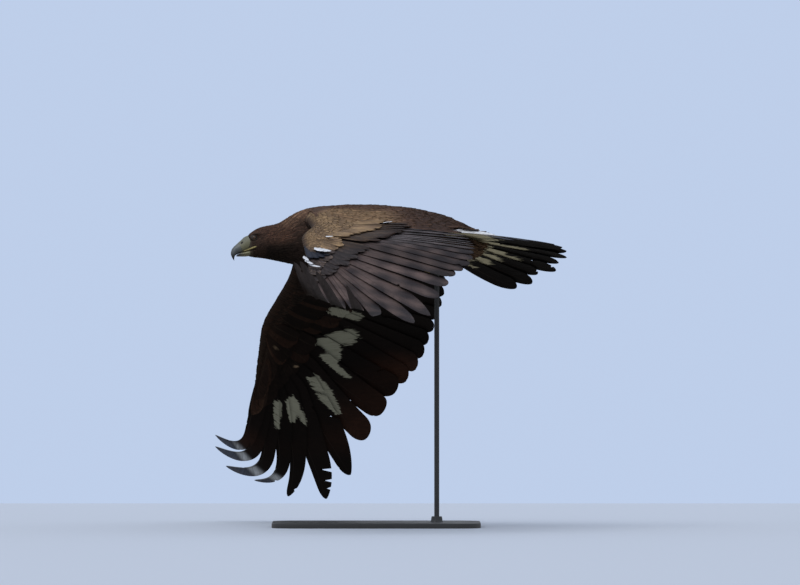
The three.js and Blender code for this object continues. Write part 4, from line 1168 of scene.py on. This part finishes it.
def clearOfFace(found):
    # no feather starts on the cere, or starts or lies over the eye
    at = bodyRing(found["x"], found["angle"])
    there = bodyRing(found["x"] + found["size"] * 0.5, found["angle"])
    (topX, topZ), (bottomX, bottomZ) = cereBack["top"], cereBack["bottom"]
    edge = topX + (topZ - at[:, 2]) / (topZ - bottomZ) * (bottomX - topX)
    offCere = (at[:, 0] > edge + 1) | (at[:, 2] < bottomZ - 6)
    long, high = eyeClear
    onEye = lambda p: np.hypot((p[:, 0] - eyeForm["x"]) / long, (p[:, 2] - eyeForm["z"]) / high) < 1
    return offCere & ~((onEye(at) | onEye(there)) & (np.abs(at[:, 1]) > 12))


def makeBodyCoat():
    for name, (fromX, toX, slot) in coatSpans.items():
        found = coatRows(fromX, toX)
        if name == "coat_head":
            keep = clearOfFace(found)
            found = {key: v[keep] for key, v in found.items()}
        onNeck = smooth(found["x"], -130, -112) * (1 - smooth(found["x"], -50, -20))
        f = coatFeathers(found, onNeck * smooth(np.sin(found["angle"]), -0.5, 0.2))
        patch = unwrapped(found["x"], -190, 350, found["angle"] % (2 * np.pi), 0, 2 * np.pi)
        colour = coverColour(found, tones(len(f["root"]), 0.38), bodyColour)
        finish(putVanes(name, onForm(onBody, found), f, colour, patch), "coat", slot)


makeBodyCoat()

# The mantle and its long inner feathers cover the crease between the back and each wing.
mantleRows = {"from": -22, "to": 222, "step": 9.5, "start": 6, "end": 158, "aside": 8.5, "long": (44, 98)}
mantleVane = {"lead": 9.5, "trail": 9.5, "thick": 0.45, "shaft": 0.7, "dome": 1.5, "leadFrom": 0.6,
              "leadPower": 2, "tipFrom": 0.6, "tipPower": 2, "quill": 0.5, "ease": 0.7}


def makeMantle():
    m = mantleRows
    grid = np.meshgrid(np.arange(m["from"], m["to"], m["step"]), np.arange(m["start"], m["end"], m["aside"]))
    for name, side in sides.items():
        x, aside = (v.ravel() + 7 * (draw.random(v.size) - 0.5) for v in grid)
        kept = draw.random(len(x)) > 0.85 * smooth(aside, 104, 150)
        x, aside = x[kept], aside[kept]
        low = 1 - 0.6 * smooth(aside, 90, 140)
        size = mix(m["long"][0], m["long"][1], smooth(x, -20, 120)) * (0.88 + 0.24 * draw.random(len(x)))
        drift = 4 + 8 * (draw.random(len(x)) - 0.5)
        f = {"root": np.stack([x, aside, 0 * x - 1.5], -1),
             "tip": np.stack([x + size, aside + drift, (2.5 + 0.035 * size) * low], -1), **mantleVane}
        tone = tones(len(x), 0.22)

        def colour(info):
            gold = smooth(info["b"], 24, 66) * (1 - smooth(info["a"], 125, 215)) * smooth(info["a"], -20, 20)
            base = tint(rgb["brown"], rgb["gold"], 0.85 * gold * (0.45 + 0.55 * info["seed"]))
            base = tint(base, rgb["dark"], 0.8 * smooth(info["a"], 150, 260))
            centre = 1 - smooth(np.abs(info["c"]), 0.1, 0.75)
            return base * (1 - 0.35 * centre[..., None]) * tone

        patch = unwrapped(x, -30, 230, aside, 0, 162)
        onMantle = overForm(mantleRing(side), -1.0 * side)
        finish(putVanes("mantle_" + name, onMantle, f, colour, patch), "coat", "plumage")


makeMantle()

# The legs' feathers, in rings from hip to ankle.
legCoat = {"from": 2, "to": 96, "step": 6.5, "around": 22, "wide": 6.0, "long": (26, 34)}


def legColour(along, angle):
    # darker towards each leg's underside, as painted shade over the feathers' own dark brown
    dark = tint(rgb["under"], rgb["underWarm"], smooth(np.sin(angle), -0.8, 0.6))
    return tint(dark, markings["shank"], 0.5 * smooth(along, 60, 110))


def makeLegCoat():
    for name, side in sides.items():
        rings = np.arange(legCoat["from"], legCoat["to"], legCoat["step"])
        grid = np.meshgrid(rings, np.arange(legCoat["around"]) / legCoat["around"] * 2 * np.pi)
        along, angle = (v.ravel() for v in grid)
        along = along + 4 * (draw.random(len(along)) - 0.5)
        found = {"x": along, "angle": angle + 0.2 * draw.random(len(along)),
                 "wide": legCoat["wide"] + 0 * along, "radius": legRadius(along / legLine["length"]),
                 "size": mix(*legCoat["long"], draw.random(len(along)))}
        colour = coverColour(found, tones(len(along), 0.22), legColour)
        patch = unwrapped(along, 0, 100, angle, 0, 2 * np.pi)
        f = coatFeathers(found, 0 * along)
        piece = putVanes("trousers_" + name, onForm(onLeg(side), found), f, colour, patch)
        finish(piece, "coat", "plumage")


makeLegCoat()

# Skin: one closed skin under the coat, joined from the body, both wings' flesh and the thighs.
skinForm = {"headDepth": 1.2, "bodyDepth": 3.2, "wingDepth": 1.2, "legDepth": 2.0, "voxel": 0.0032}


def makeSkin():
    around = np.linspace(0, 2 * np.pi, 96, endpoint=False)[None]
    x = np.linspace(-172, 366, 216)[:, None]
    depth = mix(skinForm["headDepth"], skinForm["bodyDepth"], smooth(x, -150, -100))
    depth = depth + 2.5 * (1 - smooth(x, -172, -162))
    forms = [onBody(x, around, 0 * around - depth)]
    a, angle = np.linspace(-24, 556, 150)[:, None], np.linspace(-np.pi, np.pi, 64, endpoint=False)[None]
    b, h = fleshSection(a, angle, skinForm["wingDepth"])
    along = np.linspace(0, legLine["length"], 40)[:, None]
    for side in sides.values():
        forms += [onWing(side)(a, b, h), onLeg(side)(along, around, 0 * around - skinForm["legDepth"])]
    made = putTubes("skinForms", forms, [(0, 0, 0)] * len(forms))
    remesh = made.modifiers.new("remesh", "REMESH")
    remesh.mode, remesh.voxel_size = "VOXEL", skinForm["voxel"]
    relax = made.modifiers.new("relax", "SMOOTH")
    relax.iterations, relax.factor = 3, 0.5
    mesh = bpy.data.meshes.new_from_object(made.evaluated_get(bpy.context.evaluated_depsgraph_get()))
    bpy.data.objects.remove(made)
    skin = bpy.data.objects.new("skin", mesh)
    bpy.context.scene.collection.objects.link(skin)
    place = np.empty(len(mesh.vertices) * 3, np.float32)
    mesh.vertices.foreach_get("co", place)
    bird = (place.reshape(-1, 3) * 1000.0 - np.array(birdPlace["at"])) @ birdTurn
    angle = np.arctan2(bird[:, 2] - bodyMiddle(bird[:, 0]), np.abs(bird[:, 1]))
    paint = bodyColour(bird[:, 0], angle) * 0.6
    layer = mesh.attributes.get("plume") or mesh.attributes.new("plume", "FLOAT_COLOR", "POINT")
    layer.data.foreach_set("color", np.c_[paint, np.ones(len(paint))].astype(np.float32).ravel())
    mesh.polygons.foreach_set("use_smooth", np.ones(len(mesh.polygons), bool))
    finish(skin, "skin", "plumage", "head", "neck", "torso", "leg_left", "leg_right")
    print("eagle: skin has", len(mesh.polygons), "faces")


makeSkin()

# The bill and its cere: rings between an upper and a lower curve in the bird's middle plane.
culmen = curveThrough([
    (-168, -9), (-180, -15), (-191, -25), (-202, -34), (-210, -43), (-213, -53), (-211, -62), (-206, -72)])
tomium = curveThrough([
    (-158, -43), (-170, -47), (-181, -50.5), (-190, -53), (-197, -55.5), (-202.5, -59), (-205, -65),
    (-205.6, -71.5)])
billHalfWidth = lineThrough([[0, 18], [0.2, 15], [0.4, 12], [0.6, 8.5], [0.8, 5.5], [1, 0.8]])
lowerTop = curveThrough([
    (-154, -43.5), (-170, -48.5), (-181, -51.7), (-190, -54.4), (-197, -57), (-200, -59.5)])
lowerBottom = curveThrough([
    (-154, -56), (-170, -59.5), (-181, -60.5), (-190, -60.5), (-197, -60.5), (-200, -60.7)])
lowerHalfWidth = lineThrough([[0, 15], [0.4, 11.5], [0.75, 8], [1, 3]])
billColours = {"horn": (0.095, 0.11, 0.115), "tip": (0.016, 0.018, 0.022), "base": (0.15, 0.16, 0.135),
               "under": (0.26, 0.25, 0.14), "cere": (0.19, 0.185, 0.115), "gape": (0.36, 0.3, 0.12),
               "nostril": (0.02, 0.018, 0.014), "lid": (0.018, 0.014, 0.012), "brow": (0.045, 0.03, 0.024)}
cereForm = {"from": 0.05, "to": 0.345, "proud": 0.5, "swell": 0.5}
nostril = {"x": -187, "z": -31, "long": 4.2, "wide": 2.3, "turn": 28, "deep": 2.4}
gapeRun = [
    (-183, 10.5, -50.8), (-175, 13.2, -49.0), (-167, 18.2, -47.0), (-159, 22.0, -44.8), (-152, 24.6, -42.8)]
gapeRadius = lineThrough([[0, 0.7], [0.3, 1.5], [0.75, 2.0], [1, 0.7]])
browRun = [
    (-166, 14.5, -14.4), (-162, 18.6, -13.2), (-156, 22.4, -12.2), (-149, 25.2, -12), (-140, 26.4, -13)]
browRadius = lineThrough([[0, 0.5], [0.35, 2.3], [0.7, 2.1], [1, 0.4]])


def planeForm(upper, lower, halfWidth, t, around, swell=0.0):
    # a ring's point lies between the two curves by its sine, and beside them by its cosine to a power
    angle = np.linspace(0, 2 * np.pi, around, endpoint=False)[None]
    top, bottom = upper(t), lower(t)
    middle, arm = (top + bottom) / 2, (top - bottom) / 2
    arm = arm + unit(arm) * swell
    flat = middle[:, None] + arm[:, None] * np.sin(angle)[..., None]
    across = np.sign(np.cos(angle)) * np.abs(np.cos(angle)) ** 0.86 * (halfWidth(t)[:, None] + swell)
    return np.stack([flat[..., 0], across, flat[..., 1]], -1), angle


def makeBill():
    paint = {key: np.array(value) for key, value in billColours.items()}
    t = np.linspace(0.3, 1, 60)
    form, _ = planeForm(culmen, tomium, billHalfWidth, t, 40)
    along = np.broadcast_to(t[:, None], form.shape[:2])
    colour = tint(paint["horn"] + 0 * form, paint["base"], (1 - smooth(along, 0.33, 0.55)) * 0.7)
    colour = tint(colour, paint["tip"], smooth(along, 0.6, 0.92))
    finish(putTubes("bill_horn", [form], [colour]), "bill", "bill", "bill_upper")
    t = np.linspace(0, 1, 40)
    form, _ = planeForm(lowerTop, lowerBottom, lowerHalfWidth, t, 32)
    along = np.broadcast_to(t[:, None], form.shape[:2])
    colour = tint(paint["under"] + 0 * form, paint["tip"] * 2, smooth(along, 0.3, 0.8))
    finish(putTubes("bill_under", [form], [colour]), "bill", "bill", "bill_lower")


def makeCere():
    paint = {key: np.array(value) for key, value in billColours.items()}
    t = np.linspace(cereForm["from"], cereForm["to"], 44)
    form, angle = planeForm(culmen, tomium, billHalfWidth, t, 72, cereForm["proud"])
    swollen = cereForm["swell"] * np.sin(np.pi * (t - t[0]) / (t[-1] - t[0]))[:, None]
    c, s = np.cos(np.radians(nostril["turn"])), np.sin(np.radians(nostril["turn"]))
    dx, dz = form[..., 0] - nostril["x"], form[..., 2] - nostril["z"]
    reach = ((dx * s + dz * c) / nostril["long"]) ** 2 + ((dx * c - dz * s) / nostril["wide"]) ** 2
    hole = np.exp(-(reach**1.6))
    form[..., 1] += np.sign(form[..., 1]) * (swollen - nostril["deep"] * hole)
    above = np.broadcast_to(smooth(np.sin(angle), -0.2, 0.9), hole.shape)
    colour = tint(paint["cere"] + 0 * form, paint["base"], 0.75 * above)
    colour = tint(colour, paint["nostril"], smooth(hole, 0.25, 0.7))
    finish(putTubes("cere_skin", [form], [colour]), "cere", "cere", "cere")


def mirrored(run, side):
    return [(x, side * y, z) for x, y, z in run]


def ballRings(polar, about):
    # x, y and z of a unit ball: a ring at each polar angle from z, turned about z
    return np.sin(polar) * np.cos(about), np.sin(polar) * np.sin(about), np.cos(polar) + 0 * about


def makeEyeball():
    # rings from the pupil back, with the clear front a little proud
    polar = (np.pi * np.linspace(0.02, 0.985, 50) ** 1.6)[:, None]
    x, z, y = ballRings(polar, np.linspace(0, 2 * np.pi, 48, endpoint=False)[None])
    size = eyeForm["r"] * (1 + 0.035 * (1 - smooth(polar, 0.35, 0.75)))
    ball = np.stack([x, y, z], -1) * size[..., None]
    over = np.broadcast_to(polar, ball.shape[:2])
    colour = np.array(eyeForm["iris"]) * (1.3 - 0.6 * smooth(over, 0.3, 0.62)[..., None])
    colour = tint(colour, eyeForm["pupil"], 1 - smooth(over, 0.27, 0.33))
    colour = tint(colour, eyeForm["rim"], smooth(over, 0.6, 0.72))
    return ball @ (turn("z", eyeForm["forward"]) @ turn("x", -eyeForm["down"])).T, colour


def makeLid():
    # a thin tube along the eye's opening, two half ellipses laid on the ball
    angle = np.linspace(0, 2 * np.pi, lidForm["around"], endpoint=False)
    high = np.where(np.sin(angle) > 0, lidForm["above"], lidForm["below"])
    x, z = lidForm["half"] * np.cos(angle), high * np.sin(angle)
    path = np.stack([x, np.sqrt(eyeForm["r"] ** 2 - x**2 - z**2) + 0.3, z], -1)
    outward = unit(np.cross(np.roll(path, -1, 0) - np.roll(path, 1, 0), path))[:, None]
    across = np.linspace(0, 2 * np.pi, lidForm["across"], endpoint=False)[None, :, None]
    rim = path[:, None] + unit(path)[:, None] * np.cos(across) * lidForm["thick"]
    return rim + outward * np.sin(across) * lidForm["wide"]


def makeEyes():
    ball, colour = makeEyeball()
    rim = makeLid()
    around, across = rim.shape[:2]
    wrap = gridFaces(around + 1, across, True) % (around * across)
    paint = np.tile(billColours["lid"] + (1,), (around * across, 1))
    for name, side in sides.items():
        mirror = np.array([1, side, 1])
        centre = np.array([eyeForm["x"], side * eyeForm["y"], eyeForm["z"]])
        finish(putTubes("eyeball_" + name, [ball * mirror + centre], [colour]), "eye", "eye", "eye_" + name)
        points = toWorld((rim * mirror + centre).reshape(-1, 3))
        finish(putMesh("lid_" + name, points, [wrap], {"plume": paint}), "cere", "cere")
        brow = pathTube(mirrored(browRun, side), browRadius, 30, 14)
        finish(putTubes("brow_" + name, [brow], [billColours["brow"]]), "skin", "plumage")
        gape = pathTube(mirrored(gapeRun, side), gapeRadius, 30, 14)
        finish(putTubes("gape_" + name, [gape], [billColours["gape"]]), "cere", "cere")


makeBill()
makeCere()
makeEyes()

# Feet, shut under the tail, with scutes on the toes and curved claws.
ankle = (238, 31, -79)
toeRun = {
    "inner": [(0, -6, -1), (13, -12, -4), (25, -15, -6), (33, -15, -11)],
    "middle": [(0, 0, -2), (17, 0, -7), (32, 0, -9), (41, 0, -15)],
    "outer": [(0, 6, -1), (13, 12, -3), (25, 14, -5), (33, 14, -10)],
    "hind": [(-2, 1, -4), (4, 1, -14), (11, 1, -19), (18, 1, -21)]}
clawRun = {
    "inner": [(33.2, -15, -10.4), (35, -15, -20), (29, -14, -26)],
    "middle": [(41.2, 0, -14.4), (43, 0, -25), (36, 0, -32)],
    "outer": [(33.2, 14, -9.4), (35, 14, -19), (29, 13, -25)],
    "hind": [(17.4, 1, -20.8), (27, 1, -25), (31, 1, -32)]}
palmSize = (9, 12, 8)
toeRadius = lineThrough([[0, 6.2], [0.5, 5.2], [0.92, 4.5], [1, 3]])
clawRadius = lineThrough([[0, 3.7], [0.5, 2.3], [1, 0.25]])
footColours = {"toe": (0.42, 0.32, 0.1), "claw": (0.012, 0.012, 0.014)}


def makeFeet():
    # an oval ball for the palm, and a tube along each toe's curve and each claw's
    polar, about = np.linspace(0.01, np.pi - 0.01, 24)[:, None], np.linspace(0, 2 * np.pi, 28, endpoint=False)
    palm = np.stack(ballRings(polar, about[None]), -1) * np.array(palmSize)
    for name, side in sides.items():
        fromAnkle = lambda run: [(ankle[0] + x, side * (ankle[1] + y), ankle[2] + z) for x, y, z in run]
        toes = [pathTube(fromAnkle(run), toeRadius, 56, 18, 0.1, 9) for run in toeRun.values()]
        middle = np.array([ankle[0], side * ankle[1], ankle[2]])
        piece = putTubes("toes_" + name, [palm + middle] + toes, [footColours["toe"]] * 5)
        finish(piece, "foot", "cere", "foot_" + name)
        for label, run in clawRun.items():
            form = pathTube(fromAnkle(run), clawRadius, 30, 16)
            piece = putTubes("talon_" + name + "_" + label, [form], [footColours["claw"]])
            finish(piece, "claw", "claw", "claw_" + name + "_" + label)


makeFeet()

# The stand: a flat plate with round corners and a soft edge, a flared boss and one rod.
standForm = {"long": 500, "deep": 340, "thick": 12, "corner": 62, "rod": (145, 0), "rodRadius": 6,
             "rodTop": 676, "soft": 2, "paint": (0.05, 0.052, 0.056)}


def plateRing(inset, z):
    # a rounded rectangle: straight sides between four quarter circles
    quarter = np.linspace(0, np.pi / 2, 16)
    x, y = standForm["long"] / 2 - standForm["corner"], standForm["deep"] / 2 - standForm["corner"]
    radius = standForm["corner"] - inset
    corners = []
    for k, (cx, cy) in enumerate([(x, y), (-x, y), (-x, -y), (x, -y)]):
        v = quarter + k * np.pi / 2
        corners.append(np.stack([cx + np.cos(v) * radius, cy + np.sin(v) * radius, 0 * v + z], -1))
    return np.concatenate(corners)


def turned(profile, around=64):
    # rings about the rod's line from (radius, height) pairs
    angle = np.linspace(0, 2 * np.pi, around, endpoint=False)
    x, y = standForm["rod"]
    ring = lambda r, z: np.stack([x + np.cos(angle) * r, y + np.sin(angle) * r, 0 * angle + z], -1)
    return np.stack([ring(r, z) for r, z in profile])


def makeStand():
    thick, soft, quarter = standForm["thick"], standForm["soft"], np.linspace(0, np.pi / 2, 7)
    edge = [(soft - soft * np.sin(v), soft - soft * np.cos(v)) for v in quarter]
    edge += [(soft - soft * np.cos(v), thick - soft + soft * np.sin(v)) for v in quarter]
    plate = np.stack([plateRing(inset, z) for inset, z in edge])
    flare = lineThrough([[0, 17], [0.35, 14.2], [0.8, 13], [1, 12.4]])
    flared = [(float(flare(t)), thick - 2 + 15.2 * t) for t in np.linspace(0, 1, 14)]
    boss = turned(flared + [(11.4, thick + 13.7)])
    toMetres = lambda p: p / 1000
    paint = standForm["paint"]
    finish(putTubes("stand_plate", [plate, boss], [paint, paint], toMetres), "stand", "stand", "stand_base")
    heights = np.linspace(thick + 10, standForm["rodTop"], 40)
    rod = turned([(standForm["rodRadius"], z) for z in heights], 48)
    finish(putTubes("stand_post", [rod], [paint], toMetres), "stand", "stand", "stand_rod")


makeStand()
print("eagle: head, feet and stand made")

# Floor, light and camera. The floor takes no part in the soft light, so that the bird's underside stays dark.
studio = {"floor": (0.6, 0.66, 0.76, 1), "back": (0.515, 0.62, 0.82, 1), "above": (0.56, 0.6, 0.68, 1),
          "below": (0.2, 0.2, 0.2, 1)}
skylight = {"way": (0.25, 0.55, -1.0), "strength": 1.0, "spread": 60, "colour": (1.0, 0.98, 0.95)}
photoView = {"at": (0.0568, -25.0, 0.5628), "lens": 468.75, "sensor": 36.0}


def makeStage():
    mesh = bpy.data.meshes.new("floor")
    mesh.from_pydata([(-9, -29, 0), (9, -29, 0), (9, 2.8, 0), (-9, 2.8, 0)], [], [(0, 1, 2, 3)])
    floor = bpy.data.objects.new("floor", mesh)
    bpy.context.scene.collection.objects.link(floor)
    made = bpy.data.materials.new("floorPaint")
    made.use_nodes = True
    shader = made.node_tree.nodes["Principled BSDF"]
    for key, value in (("Base Color", studio["floor"]), ("Roughness", 0.9), ("Specular IOR Level", 0.1)):
        shader.inputs[key].default_value = value
    mesh.materials.append(made)
    floor.visible_diffuse = False
    floor.visible_glossy = False
    world = bpy.data.worlds.new("studio")
    bpy.context.scene.world = world
    world.use_nodes = True
    tree = world.node_tree
    up = addNode(tree, "SeparateXYZ", {0: addNode(tree, "TexCoord").outputs["Generated"]}).outputs[2]
    light = mixColour(tree, stepBetween(tree, up, -0.25, 0.35), studio["below"], studio["above"])
    seen = addNode(tree, "LightPath").outputs["Is Camera Ray"]
    tree.links.new(mixColour(tree, seen, light, studio["back"]), tree.nodes["Background"].inputs["Color"])
    bpy.context.scene.view_settings.view_transform = "Standard"


def makeSkylight():
    lamp = bpy.data.lights.new("softSkylight", "SUN")
    lamp.energy, lamp.color = skylight["strength"], skylight["colour"]
    lamp.angle = np.radians(skylight["spread"])
    made = bpy.data.objects.new("softSkylight", lamp)
    bpy.context.scene.collection.objects.link(made)
    made.rotation_euler = Vector(skylight["way"]).to_track_quat("-Z", "Y").to_euler()


def makeCamera():
    data = bpy.data.cameras.new("camera")
    data.lens, data.sensor_width, data.clip_end = photoView["lens"], photoView["sensor"], 200
    camera = bpy.data.objects.new("camera", data)
    camera.location = photoView["at"]
    camera.rotation_euler = (np.pi / 2, 0, 0)
    bpy.context.scene.collection.objects.link(camera)
    bpy.context.scene.camera = camera


makeStage()
makeSkylight()
makeCamera()
print("eagle: stage set")
